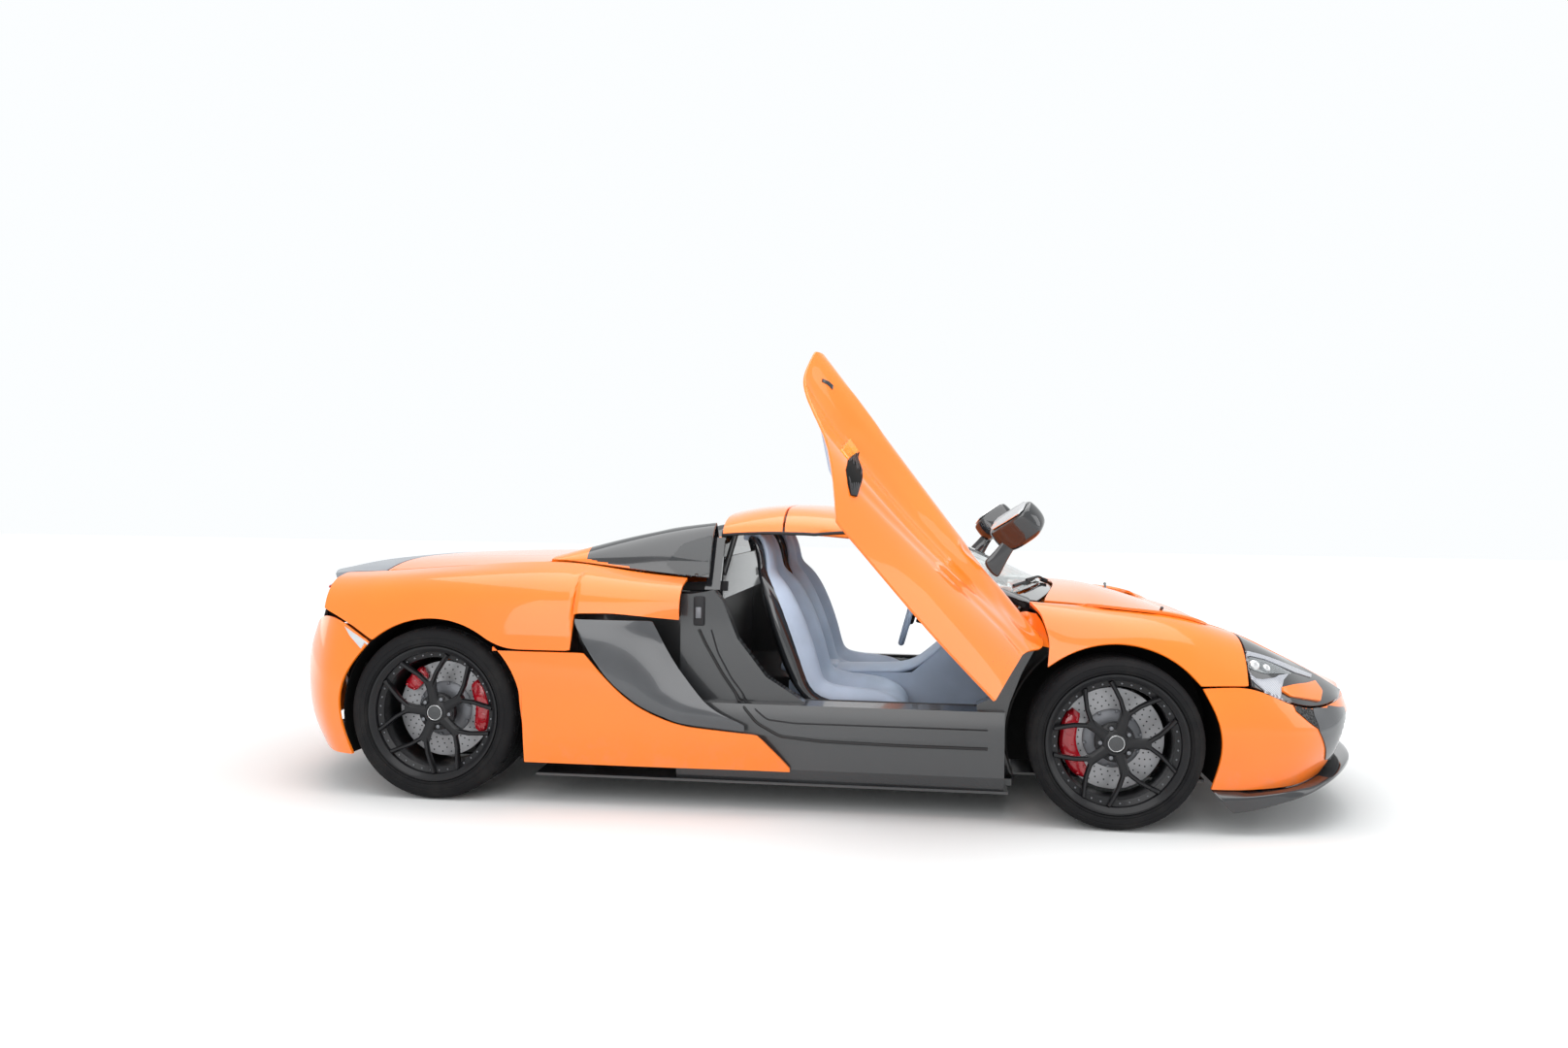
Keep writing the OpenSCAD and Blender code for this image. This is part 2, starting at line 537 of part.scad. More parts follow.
module diffuser() {
    color(carbon) union() {
        rotate([90, 0, 0]) translate([0, 0, -560]) linear_extrude(1120)
            polygon([[-1640, 106], [-1900, 136], [-2110, 196], [-2110, 208], [-1900, 150], [-1640, 120]]);
        for (y = [-540, -270, 0, 270, 540]) translate([0, y + 5, 0]) rotate([90, 0, 0]) linear_extrude(10)
            polygon([[-1760, 116], [-2070, 130], [-2100, 200], [-1900, 146]]);
        translate([-1950, -60, 145]) cube([40, 120, 200 - seat_gap - 145]);
    }
}

pipe_r = 52;
pipe_y = 190;
pipe_z = 690;

module exhausts() {
    color(grey_metal) both_sides() translate([-1960, pipe_y, pipe_z]) rotate([0, -90, 0]) difference() {
        cylinder(r = pipe_r, h = 230);
        translate([0, 0, 10]) cylinder(r = pipe_r - 4, h = 230);
    }
}

engine_w = 600;
module engine() { color("#55585c") translate([-1200, -engine_w / 2, 180]) cube([680, engine_w, 520]); }

// ---------- under the body ----------

sill_section = [[700, 116], [862, 116], [884, 170], [884, 300], [868, 418], [760, 424], [700, 300]];
rear_jamb = [[-430, 142], [-430, 840], [-336, 856], [-302, 816], [-240, 667], [-123, 519], [30, 424], [30, 142]];
front_jamb = [[700, 300], [700, 440], [764, 473], [806, 560], [826, 640], [834, 680], [926, 680], [905, 640],
    [868, 570], [824, 452], [810, 390], [804, 323], [804, 300]];

frame_low = 170;
frame_in = 400;
frame_out = 470;

// Bars and pads that carry the outer panels, on the car's left
module panel_stays() {
    stay(bumper_grid(), 19, 5, panel_t, [1930, 150, 325]);
    stay(front_grille_grid(), 6, 1, grille_t, [1930, 200, 290]);
    stay(front_fender_grid(), 12, 7, panel_t, [1390, 434, 690], true, 5);
    stay(light_grid(), 4, 4, panel_t, [1860, 320, 300]);
    stay(cowl_grid(), 12, 1, cowl_t, [838, 330, 725]);
    stay(rear_fender_grid(), 20, 7, panel_t, [-970, 440, 830]);
    stay(side_panel_grid(), 19, 2, panel_t, [-280, 860, 250]);
    stay(intake_grid(), 5, 2, panel_t, [-670, 706, 540]);
    stay(roof_grid(2.03, 4), 4, 5, roof_t, [-358, 491, 900], false, 12);
    stay(lid_grid(), 8, 8, lid_t, [-975, 430, 830], false);
    stay(deck_grid(), 12, 4, panel_t, [-1370, 430, 470], false);
    stay(airbrake_grid(), 12, 1, airbrake_t, [-1870, 300, 560], false);
    stay(rear_bumper_grid(), 14, 4, panel_t, [-1960, 400, 250], false);
    stay(rear_grille_grid(), 5, 1, rear_grille_t, [-1870, 400, 560], false);
}

// The fixed pin that a door turns on, and the bracket that holds it, on the car's left
module door_pin() {
    arm(door_hinge - 18 * door_axis, door_hinge + 40 * door_axis, 9);
    arm(door_hinge + 36 * door_axis, [870, 785, 655], 9);
}

module tub() {
    color(carbon) union() {
        underfloor();
        luggage_tub();
        translate([-470, -760, 115]) cube([1310, 1520, floor_top - 115]);
        both_sides() {
            rotate([90, 0, 90]) translate([0, 0, -470]) linear_extrude(1274) polygon(sill_section);
            translate([0, 822, 0]) rotate([90, 0, 0]) linear_extrude(62) polygon(rear_jamb);
            translate([0, 838, 0]) rotate([90, 0, 0]) linear_extrude(80) polygon(front_jamb);
            // frame of the engine bay
            translate([-1930, frame_in, frame_low]) cube([1470, frame_out - frame_in, 110]);
            translate([-1900, frame_in, 430]) cube([960, frame_out - frame_in, 50]);
            translate([-1000, frame_in, frame_low]) cube([60, frame_out - frame_in, 670]);
            translate([-1900, frame_in, frame_low]) cube([60, frame_out - frame_in, 400]);
            translate([-900, engine_w / 2 + seat_gap, 220])
                cube([80, frame_in - engine_w / 2 + 10, 40]);
            translate([-1120, frame_out - 10, 230]) cube([40, 600 - seat_gap - frame_out + 10, 30]);
            translate([-900, 700, 300]) cube([474, 12, 440]);
            translate([-2000, pipe_y - 20, 540]) cube([140, 40, pipe_z - pipe_r - seat_gap - 540]);
            translate([-1000, frame_in, 560]) cube([574, 40, 60]);
            panel_stays();
            door_pin();
        }
        translate([-470, -822, 116]) cube([44, 1644, 724]);
        translate([-470, -540, 800]) cube([118, 1080, 40]);
        translate([-376, -540, 810]) cube([24, 1080, 164]);
        translate([822, -700, 620]) cube([30, 1400, 115]);
        translate([822, -518 + seat_gap, 116]) cube([30, 1036 - 2 * seat_gap, 560]);
        translate([-1960, -frame_out, 200]) cube([60, 2 * frame_out, 80]);
        translate([-1900, -600, 500]) cube([60, 1200, 80]);
        translate([-1000, -frame_out, 780]) cube([60, 2 * frame_out, 60]);
    }
}

module underfloor() {
    translate([0, 0, 106]) linear_extrude(10) polygon([
        [1620, 518], [1620, -518], [830, -518], [820, -870], [-1040, -880], [-1060, -560],
        [-1630, -560], [-1630, 560], [-1060, 560], [-1040, 880], [820, 870], [830, 518],
    ]);
    for (x = [-900, 700], y = [-800, 800]) translate([x, y, 100]) cylinder(r = 40, h = 8);
    for (x = [-1500, -1100]) translate([x, -frame_out, 110]) cube([40, 2 * frame_out, frame_low - 105]);
    translate([1100, -430, 110]) cube([40, 860, 65]);
}

module liner(axle_x, axle_z, r, y0, y1) {
    translate([axle_x, y1, axle_z]) rotate([90, 0, 0]) difference() {
        cylinder(r = r + 6, h = y1 - y0);
        translate([0, 0, -1]) cylinder(r = r, h = y1 - y0 - 5);
        translate([0, 0, y1 - y0 - 20]) cylinder(r = 196, h = 40);
        translate([-600, -700 - (axle_z - 170), -1]) cube([1200, 700, 600]);
    }
}

module wheel_liners() {
    color(trim_black) both_sides() {
        liner(front_axle_x, front_tyre_r, front_arch_r + 24, 518, 850);
        liner(rear_axle_x, rear_tyre_r, rear_arch_r + 8, 600, 885);
    }
}

// A wishbone: two bars from the frame at y0 out to one joint
module wishbone(x, spread, y0, z0, y1, z1, r) {
    for (s = [-1, 1]) arm([x + s * spread, y0 + r * spread / norm([spread, y1 - y0]) + seat_gap, z0], [x, y1, z1], r);
}

joint_gap = 0.4;
upper_arm = 130;
lower_arm = 140;
arm_r = 12;

module suspension() {
    color("#3a3d40") both_sides() {
        wishbone(front_axle_x, 150, 430, front_tyre_r - lower_arm, 690, front_tyre_r - lower_arm, arm_r);
        wishbone(front_axle_x, 120, 440, front_tyre_r + upper_arm, 690, front_tyre_r + upper_arm, arm_r);
        wishbone(rear_axle_x, 150, frame_out, rear_tyre_r - lower_arm, 676, rear_tyre_r - lower_arm, arm_r);
        wishbone(rear_axle_x, 120, frame_out, rear_tyre_r + 110, 676, rear_tyre_r + upper_arm, arm_r);
        translate([rear_axle_x - 40, 660, rear_tyre_r - 160]) cube([80, 30, 310]);
        arm([rear_axle_x, 300, rear_tyre_r], [rear_axle_x, 670, rear_tyre_r], 24);
        arm([rear_axle_x, 670, rear_tyre_r], [rear_axle_x, tyre_face_y - spindle_end, rear_tyre_r], spindle_r);
        caliper(rear_axle_x, rear_tyre_r, -35);
        arm([rear_axle_x, 676, rear_tyre_r], [rear_axle_x + 150, 694, rear_tyre_r + 60], 16);
    }
}

module caliper(axle_x, z, angle) {
    translate([axle_x, brake_y, z]) rotate([90, 0, 0]) rotate(angle) rotate_extrude(angle = 62)
        translate([disc_r - 62, 0]) difference() {
            translate([0, -38]) square([70, 76]);
            translate([-1, -disc_t / 2 - 3]) square([66, disc_t + 6]);
        }
}

module knuckle() {
    low = front_tyre_r - lower_arm + arm_r + joint_gap;
    high = front_tyre_r + upper_arm - arm_r - joint_gap;
    color("#3a3d40") {
        translate([front_axle_x - 38, 668, low]) cube([76, 34, high - low]);
        arm([front_axle_x, 680, front_tyre_r], [front_axle_x, tyre_face_y - spindle_end, front_tyre_r], spindle_r);
        translate([front_axle_x - 152, 668, front_tyre_r - 40]) cube([130, 31, 60]);
    }
    color("#c01818") caliper(front_axle_x, front_tyre_r, 150);
}

module knuckle_left() { knuckle(); }
module knuckle_right() { right_side() knuckle(); }

// ---------- wheels ----------

module tyre(r, w, lip) {
    seat = lip - 18;
    bore = seat;
    color("#1a1a1b") rotate([-90, 0, 0]) rotate_extrude($fn = 72) polygon([
        [bore, -w / 2 + 21], [lip + 1, -w / 2 + 17], [lip + 5, -w / 2 + 5], [lip + 22, -w / 2], [r - 22, -w / 2 + 4],
        [r - 5, -w / 2 + 18], [r, -w / 2 + 40], [r, w / 2 - 40], [r - 5, w / 2 - 18], [r - 22, w / 2 - 4],
        [lip + 22, w / 2], [lip + 5, w / 2 - 5], [lip + 1, w / 2 - 17], [bore, w / 2 - 21], [bore, w / 2 - 36],
        [lip + 8, w / 2 - 26], [r - 14, w / 2 - 26], [r - 11, 0], [r - 14, -w / 2 + 26], [lip + 8, -w / 2 + 26],
        [bore, -w / 2 + 36],
    ]);
}

module rim(w, lip) {
    seat = lip - 18;
    face = w / 2 - 12;
    brake = brake_y - (tyre_face_y - w / 2);
    hub = face - hub_depth;
    rotate([-90, 0, 0]) difference() {
        union() {
            rotate_extrude($fn = 72) polygon([
                [lip, face + 6], [lip, face - 2], [seat - run_gap, face - 8], [seat - 24, face - 60],
                [seat - 24, -face + 60], [seat - run_gap, -face + 8], [lip, -face + 2], [lip, -face - 4],
                [lip - 7, -face - 4], [seat - 10, -face + 4], [seat - 32, -face + 52], [seat - 32, face - 50],
                [seat - 22, face - 14], [seat - 9, face], [lip - 7, face + 6],
            ]);
            translate([0, 0, hub]) cylinder(r = 76, h = 46);
            for (i = [0 : spoke_count - 1]) rotate(90 + i * 360 / spoke_count) for (s = [-1, 1])
                translate([0, 0, face - 44]) linear_extrude(26) polygon([
                    [50, s * 4], [60, s * 34], [150, s * 42], (seat - 19) * [cos(21), s * sin(21)],
                    (seat - 19) * [cos(15), s * sin(15)], [150, s * 18],
                ]);
            translate([0, 0, brake - disc_t / 2]) cylinder(r = disc_r, h = disc_t);
            translate([0, 0, brake]) cylinder(r = 112, h = hub - brake + 10);
        }
        translate([0, 0, brake - disc_t / 2 - 1]) cylinder(r = 104, h = hub - brake + disc_t / 2 - 8);
        translate([0, 0, brake]) cylinder(r = spindle_r + run_gap, h = face + 12 - spindle_end + 1 - brake);
    }
}

module at_wheel(x, r, w, side) { translate([x, side * (tyre_face_y - w / 2), r]) children(); }

module tyre_front_left() { at_wheel(front_axle_x, front_tyre_r, front_tyre_w, 1) tyre(front_tyre_r, front_tyre_w, front_rim_r); }
module rim_front_left() { at_wheel(front_axle_x, front_tyre_r, front_tyre_w, 1) rim(front_tyre_w, front_rim_r); }
module tyre_rear_left() { at_wheel(rear_axle_x, rear_tyre_r, rear_tyre_w, 1) tyre(rear_tyre_r, rear_tyre_w, rear_rim_r); }
module rim_rear_left() { at_wheel(rear_axle_x, rear_tyre_r, rear_tyre_w, 1) rim(rear_tyre_w, rear_rim_r); }
module tyre_front_right() { right_side() tyre_front_left(); }
module rim_front_right() { right_side() rim_front_left(); }
module tyre_rear_right() { right_side() tyre_rear_left(); }
module rim_rear_right() { right_side() rim_rear_left(); }

// ---------- cabin ----------

seat_side = [[-60, 160], [330, 160], [400, 300], [392, 385], [120, 320], [30, 330], [-40, 420], [-112, 700],
    [-150, 900], [-168, 1060], [-255, 1066], [-300, 900], [-272, 700], [-200, 400], [-150, 250]];

module seat() {
    color(blue_leather) translate([0, seat_y + seat_w / 2 - 50, 0]) rotate([90, 0, 0])
        linear_extrude(seat_w - 100) polygon(seat_side);
    foot = floor_top + seat_gap;
    color(trim_black) for (s = [-1, 1]) translate([0, seat_y + s * (seat_w / 2 - 30) + 30, 0]) rotate([90, 0, 0])
        linear_extrude(60) polygon([[-60, foot], [330, foot], [410, 300], [380, 440], [100, 440], [30, 560], [-20, 760],
            [-130, 860], [-290, 860], [-272, 700], [-200, 400], [-150, 250]]);
}

module seat_left() { seat(); }
module seat_right() { right_side() seat(); }

module on_column() { translate(wheel_column) rotate([0, 105, 0]) children(); }

module dashboard() {
    foot = floor_top + seat_gap;
    wall = 822 - seat_gap;
    color(blue_leather) union() {
        translate([0, 600, 0]) rotate([90, 0, 0]) linear_extrude(1200)
            polygon([[700, 560], [580, 640], [570, 700], [640, 770], [760, 800], [wall, 800], [wall, 520], [760, 480]]);
        translate([0, 105, 0]) rotate([90, 0, 0]) linear_extrude(210)
            polygon([[-120, foot], [-120, 400], [89, 443], [437, 454], [620, 610], [741, 684], [800, 600], [800, foot]]);
        on_column() translate([0, 0, column_length + seat_gap]) cylinder(r = 34, h = 100);
    }
}

module steering_wheel() {
    color(blue_leather) on_column() union() {
        rotate_extrude($fn = 60) translate([steering_wheel_d / 2 - 15, 0]) circle(r = 15, $fn = 20);
        cylinder(r = 52, h = 44);
        translate([0, 0, 20]) cylinder(r = 26, h = column_length - 20);
        for (a = [-90, 90, 0]) rotate(a) translate([20, -16, 2]) cube([steering_wheel_d / 2 - 36, 32, 12]);
    }
}

// ---------- doors ----------

// The door's edges, as rows of height and x
door_front = [[165, 835], [300, 838], [450, 860], [590, 948], [700, 960], [800, 930], [850, 880], [900, 860]];
door_rear = [[165, 4], [315, -130], [540, -300], [640, -400], [742, -446], [880, -364], [920, -350]];
door_pane = [[-262, 812], [-208, 672], [-90, 538], [56, 452], [308, 434], [596, 436], [744, 486], [786, 572],
    [800, 650], [782, 786], [640, 804]];

function door_grid() = [for (u = steps(0, 1, 18))
    [for (v = steps(0, 7, 16))
        let (z0 = along(side_section(200), v)[1],
            xf = line_at(door_front, z0) - gap, xr = line_at(door_rear, z0) + gap,
            x = xr + (xf - xr) * u)
        side_point(side_section(x), x, v)]];

module door_panel() { color(orange) skin(door_grid(), panel_t, true); }

module door_trim() {
    g = door_grid();
    color(blue_leather) difference() {
        union() {
            translate([0, 806, 0]) rotate([90, 0, 0]) linear_extrude(door_trim_t) polygon(door_pane);
            for (i = [5, 10, 15]) stay(g, i, 10, panel_t, [g[i][10][0], 790, 640], true, 12);
            arm(door_hinge - 16 * door_axis, door_hinge + 12 * door_axis, 16);
            arm(door_hinge - 4 * door_axis, [770, 786, 752], 10);
        }
        arm(door_hinge - 60 * door_axis, door_hinge + 60 * door_axis, 9 + run_gap);
    }
}

module mirror_shape() {
    g = door_grid();
    foot_r = 16;
    foot = g[13][14] - (foot_r + seat_gap) * grid_normal(g, 13, 14);
    color(trim_black) {
        hull() {
            translate([590, 960, 925]) scale([0.42, 0.9, 0.55]) sphere(r = 90, $fn = 16);
            translate([560, 965, 925]) scale([0.2, 0.85, 0.5]) sphere(r = 90, $fn = 16);
        }
        hull() {
            translate([590, 900, 905]) sphere(r = 14, $fn = 12);
            translate(foot) sphere(r = foot_r, $fn = 12);
        }
    }
}

module open_door() {
    translate(door_hinge) rotate(a = door_open, v = door_axis) translate(-door_hinge) children();
}

module door_left() { open_door() door_panel(); }
module door_right() { right_side() door_left(); }
module door_trim_left() { open_door() door_trim(); }
module door_trim_right() { right_side() door_trim_left(); }
module mirror_left() { open_door() mirror_shape(); }
module mirror_right() { right_side() mirror_left(); }

tub();
front_bumper();
splitter();
front_grille();
front_fenders();
headlights();
bonnet();
windscreen();
windscreen_frame();
roof();
rear_glass();
tonneau_cover();
engine_cover();
rear_fenders();
side_panels();
side_intakes();
airbrake();
rear_bumper();
rear_grille();
tail_lights();
diffuser();
exhausts();
engine();
wheel_liners();
suspension();
seat_right();
seat_left();
dashboard();
steering_wheel();
door_right();
door_left();
door_trim_right();
door_trim_left();
mirror_right();
mirror_left();
knuckle_right();
knuckle_left();
tyre_front_right();
rim_front_right();
tyre_front_left();
rim_front_left();
tyre_rear_right();
rim_rear_right();
tyre_rear_left();
rim_rear_left();
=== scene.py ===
# A low two-seat sports car with both doors swung up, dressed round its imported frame
import json
import math

import bmesh
import bpy
from mathutils import Matrix, Vector
from mathutils.bvhtree import BVHTree

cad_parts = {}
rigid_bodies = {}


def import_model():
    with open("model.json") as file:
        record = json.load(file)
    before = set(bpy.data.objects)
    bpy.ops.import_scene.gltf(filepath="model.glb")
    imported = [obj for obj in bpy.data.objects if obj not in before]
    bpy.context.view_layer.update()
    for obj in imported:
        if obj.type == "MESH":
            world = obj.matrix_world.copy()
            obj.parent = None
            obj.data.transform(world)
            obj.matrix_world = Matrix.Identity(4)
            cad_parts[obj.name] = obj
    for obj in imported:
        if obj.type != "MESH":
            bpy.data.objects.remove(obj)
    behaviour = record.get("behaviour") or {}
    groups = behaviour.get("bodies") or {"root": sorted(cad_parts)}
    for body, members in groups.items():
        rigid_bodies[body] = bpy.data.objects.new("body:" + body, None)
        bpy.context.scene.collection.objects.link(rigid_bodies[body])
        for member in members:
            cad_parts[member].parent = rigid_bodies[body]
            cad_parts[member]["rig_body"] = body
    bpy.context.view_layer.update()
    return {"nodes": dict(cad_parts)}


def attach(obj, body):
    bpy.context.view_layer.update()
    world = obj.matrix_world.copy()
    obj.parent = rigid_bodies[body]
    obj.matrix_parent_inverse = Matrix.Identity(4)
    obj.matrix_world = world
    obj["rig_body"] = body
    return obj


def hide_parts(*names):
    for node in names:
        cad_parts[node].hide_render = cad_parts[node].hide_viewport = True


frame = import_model()
nodes = frame["nodes"]
bpy.ops.object.select_all(action="DESELECT")
print("frame loaded")


# shader maths
class Value:  # wraps one socket, so that sums on it add Math nodes
    def __init__(self, finish, socket):
        self.finish, self.socket = finish, socket

    def math(self, operation, a, b=None):
        inputs = {0: a} if b is None else {0: a, 1: b}
        return self.finish.node("Math", {"operation": operation}, inputs)

    def __add__(self, other):
        return self.math("ADD", self, other)

    def __radd__(self, other):
        return self.math("ADD", other, self)

    def __sub__(self, other):
        return self.math("SUBTRACT", self, other)

    def __rsub__(self, other):
        return self.math("SUBTRACT", other, self)

    def __mul__(self, other):
        return self.math("MULTIPLY", self, other)

    def __rmul__(self, other):
        return self.math("MULTIPLY", other, self)

    def over(self, low, high):  # 0 at low, 1 at high, smooth between
        return self.finish.node("MapRange", {"interpolation_type": "SMOOTHSTEP"},
                                {"Value": self, "From Min": low, "From Max": high})

    def sine(self):
        return self.math("SINE", self)


class Finish:  # one material and its Principled shader
    def __init__(self, name, colour, rough, **constants):
        self.material = bpy.data.materials.new(name)
        self.material.use_nodes = True
        self.tree = self.material.node_tree
        self.shader = self.tree.nodes["Principled BSDF"]
        self.put("Base Color", (*colour, 1))
        self.put("Roughness", rough)
        for key, value in constants.items():
            self.put(key.replace("_", " "), value)

    def put(self, name, value):
        self.plug(self.shader.inputs[name], value)
        return self

    def plug(self, socket, value):
        if isinstance(value, Value):
            self.tree.links.new(value.socket, socket)
        else:
            socket.default_value = value

    def node(self, kind, settings=None, inputs=None, out=0):
        made = self.tree.nodes.new("ShaderNode" + kind)
        for key, value in (settings or {}).items():
            if key == "stops":
                while len(made.color_ramp.elements) < len(value):
                    made.color_ramp.elements.new(0.5)
                for element, (place, colour) in zip(made.color_ramp.elements, value):
                    element.position, element.color = place, (*colour, 1)
            else:
                setattr(made, key, value)
        for key, value in (inputs or {}).items():
            self.plug(made.inputs[key], value)
        return Value(self, made.outputs[out])

    def place(self, turn=(0, 0, 0)):
        spot = self.node("TexCoord", out="Object")
        return self.node("Mapping", None, {"Vector": spot, "Rotation": turn})

    def axis(self, name, turn=(0, 0, 0)):
        return self.node("SeparateXYZ", None, {0: self.place(turn)}, out=name)

    def cloud(self, scale, detail=3, rough=0.5):
        return self.node("TexNoise", None, {"Vector": self.place(), "Scale": scale, "Detail": detail,
                                            "Roughness": rough})

    def cells(self, scale, feature="F1", out="Distance"):
        return self.node("TexVoronoi", {"feature": feature}, {"Vector": self.place(), "Scale": scale},
                         out=out)

    def mix(self, factor, a, b):
        first, second = [c if isinstance(c, Value) else (*c, 1) for c in (a, b)]
        return self.node("Mix", {"data_type": "RGBA"}, {0: factor, 6: first, 7: second}, out=2)

    def bump(self, height, strength, depth=0.001):
        return self.put("Normal", self.node("Bump", None, {"Height": height, "Strength": strength,
                                                           "Distance": depth}))


# finishes
paintLook = {"colour": (1.0, 0.215, 0.010), "deep": (0.90, 0.165, 0.006), "dust": (0.30, 0.24, 0.19),
             "chip": (0.05, 0.035, 0.035), "rough": 0.34, "coatRough": 0.03, "dustTop": 0.34,
             "dustFull": 0.14, "chipScale": 150}


def paintFinish(name, chips=None):
    made = Finish(name, paintLook["colour"], paintLook["rough"], Coat_Weight=0.85, Coat_IOR=1.45,
                  Coat_Roughness=paintLook["coatRough"], Specular_IOR_Level=0.35)
    flakes = made.cells(2600)
    film = made.cloud(1.4, 2)  # slow change of shade across a panel
    colour = made.mix(film.over(0.3, 0.75) * 0.6 + flakes * 0.12, paintLook["colour"], paintLook["deep"])
    dusty = made.cloud(14, 5, 0.65)
    low = 1 - made.axis("Z").over(paintLook["dustFull"], paintLook["dustTop"])
    dust = low * dusty.over(0.42, 0.8) * 0.22
    colour = made.mix(dust, colour, paintLook["dust"])
    rough = paintLook["rough"] + flakes * 0.05 + dust * 0.8
    if chips:  # small dark marks, fewer away from one place
        specks = made.cells(paintLook["chipScale"])
        gap = made.node("VectorMath", {"operation": "DISTANCE"}, {0: made.place(), 1: chips["place"]},
                        out="Value")
        near = 1 - gap.over(0.0, chips["reach"])
        chance = made.node("SeparateColor", None, {0: made.cells(paintLook["chipScale"], out="Color")})
        mark = (1 - specks.over(0.14, 0.24)) * (chance - (1 - near * 0.7)).over(0.0, 0.02)
        colour = made.mix(mark, colour, paintLook["chip"])
        rough = rough + mark * 0.3
    made.put("Base Color", colour).put("Roughness", rough)
    return made.material


def glossBlackFinish(name, colour=(0.012, 0.013, 0.015), rough=0.09):
    made = Finish(name, colour, rough, Coat_Weight=0.6, Coat_Roughness=0.03)
    haze = made.cloud(5, 4)
    made.put("Roughness", rough + haze.over(0.45, 0.8) * 0.05)
    made.put("Base Color", made.mix(haze, colour, [c * 1.7 + 0.003 for c in colour]))
    return made.material


def carbonFinish(name):
    made = Finish(name, (0.018, 0.019, 0.021), 0.3, Coat_Weight=0.7, Coat_Roughness=0.06)
    slant, threads = 0.78, 1900
    warp = (made.axis("X", (0, 0, slant)) * threads).sine()
    weft = (made.axis("Z", (slant, 0, 0)) * threads).sine()
    weave = (warp * weft).over(-0.4, 0.4)
    made.put("Base Color", made.mix(weave, (0.012, 0.013, 0.014), (0.034, 0.036, 0.040)))
    made.put("Roughness", 0.26 + weave * 0.16)
    return made.material


def plasticFinish(name, colour, rough=0.55, grain=900, depth=0.25):
    made = Finish(name, colour, rough)
    grains = made.cells(grain)
    dust = made.cloud(9, 5, 0.7).over(0.45, 0.85)
    made.put("Base Color", made.mix(dust * 0.35, colour, [c * 1.5 + 0.012 for c in colour]))
    made.put("Roughness", rough + dust * 0.12)
    made.bump(grains, depth, 0.0004)
    return made.material


def leatherFinish(name, colour, rough=0.5):
    made = Finish(name, colour, rough, Sheen_Weight=0.08)
    pores = made.cells(620)
    folds = made.cloud(26, 4, 0.6)
    rub = made.cloud(5, 3)
    shade = made.mix(rub.over(0.35, 0.7), [c * 0.90 for c in colour], [min(c * 1.06, 1) for c in colour])
    made.put("Base Color", made.mix((1 - pores.over(0.0, 0.5)) * 0.25, shade, [c * 0.72 for c in colour]))
    made.put("Roughness", rough - rub * 0.08 + pores * 0.1)
    made.bump(pores * 0.5 + folds * 0.9, 0.22, 0.0012)
    return made.material


def rubberFinish(name):
    made = Finish(name, (0.012, 0.012, 0.013), 0.72)
    dust = made.cloud(7, 6, 0.65)
    scuff = made.cloud(60, 3)
    made.put("Base Color", made.mix(dust.over(0.42, 0.8) * 0.5, (0.006, 0.006, 0.007), (0.030, 0.028, 0.026)))
    made.put("Roughness", 0.62 + dust * 0.22)
    made.bump(scuff, 0.15, 0.0006)
    return made.material


def metalFinish(name, colour, rough, metallic, scale):
    made = Finish(name, colour, rough, Metallic=metallic)
    lines = made.cloud(scale, 3, 0.6)
    stain = made.cloud(6, 4)
    made.put("Roughness", rough + (lines - 0.5) * 0.25 + stain * 0.1)
    made.put("Base Color", made.mix(stain.over(0.4, 0.8) * 0.5, colour, [c * 0.62 for c in colour]))
    made.bump(lines, 0.08, 0.0004)
    return made.material


def glassFinish(name, colour, clear=0.9, rough=0.02):
    made = Finish(name, colour, rough, IOR=1.45, Coat_Weight=0.3)
    made.put("Transmission Weight", clear)
    smear = made.cloud(7, 3)
    made.put("Roughness", rough + smear.over(0.55, 0.9) * 0.03)
    return made.material


def meshFinish(name):  # fine dark honeycomb behind the openings; the near-black middle of each cell is painted shade for the holes
    made = Finish(name, (0.012, 0.012, 0.013), 0.5)
    cell = made.cells(95, "DISTANCE_TO_EDGE")
    wire = 1 - cell.over(0.06, 0.12)
    # near-black cell middles: painted shade where the mesh is open
    made.put("Base Color", made.mix(wire, (0.002, 0.002, 0.002), (0.030, 0.031, 0.033)))
    made.put("Roughness", 0.85 - wire * 0.45)
    made.bump(wire, 0.8, 0.003)
    return made.material


# painted glow: a faint emission along the ribs makes a lens or reflector shine with no lamp lit
def paintedGlowFinish(name, colour, strength):
    made = Finish(name, colour, 0.12, Coat_Weight=0.8, Coat_Roughness=0.03)
    ribs = (made.axis("Y") * 1400).sine().over(-0.3, 0.6)
    made.put("Base Color", made.mix(ribs, [c * 0.45 for c in colour], colour))
    # the emission is painted glow, strongest on the ribs
    made.put("Emission Color", made.mix(ribs, (0, 0, 0), colour))
    made.put("Emission Strength", strength)
    made.bump(ribs, 0.5, 0.001)
    return made.material


paint = paintFinish("orangePaint")
gloss = glossBlackFinish("glossBlack")
bladeGrey = glossBlackFinish("bladeGrey", (0.030, 0.032, 0.036), 0.14)
carbon = carbonFinish("carbonTub")
trim = plasticFinish("blackTrim", (0.016, 0.016, 0.018))
linerFelt = plasticFinish("archLiner", (0.010, 0.010, 0.010), 0.85, 240, 0.6)
leather = leatherFinish("paleBlueLeather", (0.43, 0.51, 0.64))
darkHide = leatherFinish("darkSuede", (0.030, 0.032, 0.038), 0.8)
rubber = rubberFinish("tyreRubber")
seal = plasticFinish("doorSeal", (0.010, 0.010, 0.011), 0.6, 500, 0.2)
wheelBlack = glossBlackFinish("satinBlackWheel", (0.006, 0.006, 0.007), 0.34)
for material, level in ((wheelBlack, 0.22), (rubber, 0.18), (linerFelt, 0.1), (trim, 0.3)):
    material.node_tree.nodes["Principled BSDF"].inputs["Specular IOR Level"].default_value = level
wheelBlack.node_tree.nodes["Principled BSDF"].inputs["Coat Weight"].default_value = 0.12
discSteel = metalFinish("discSteel", (0.30, 0.30, 0.31), 0.34, 0.95, 160)
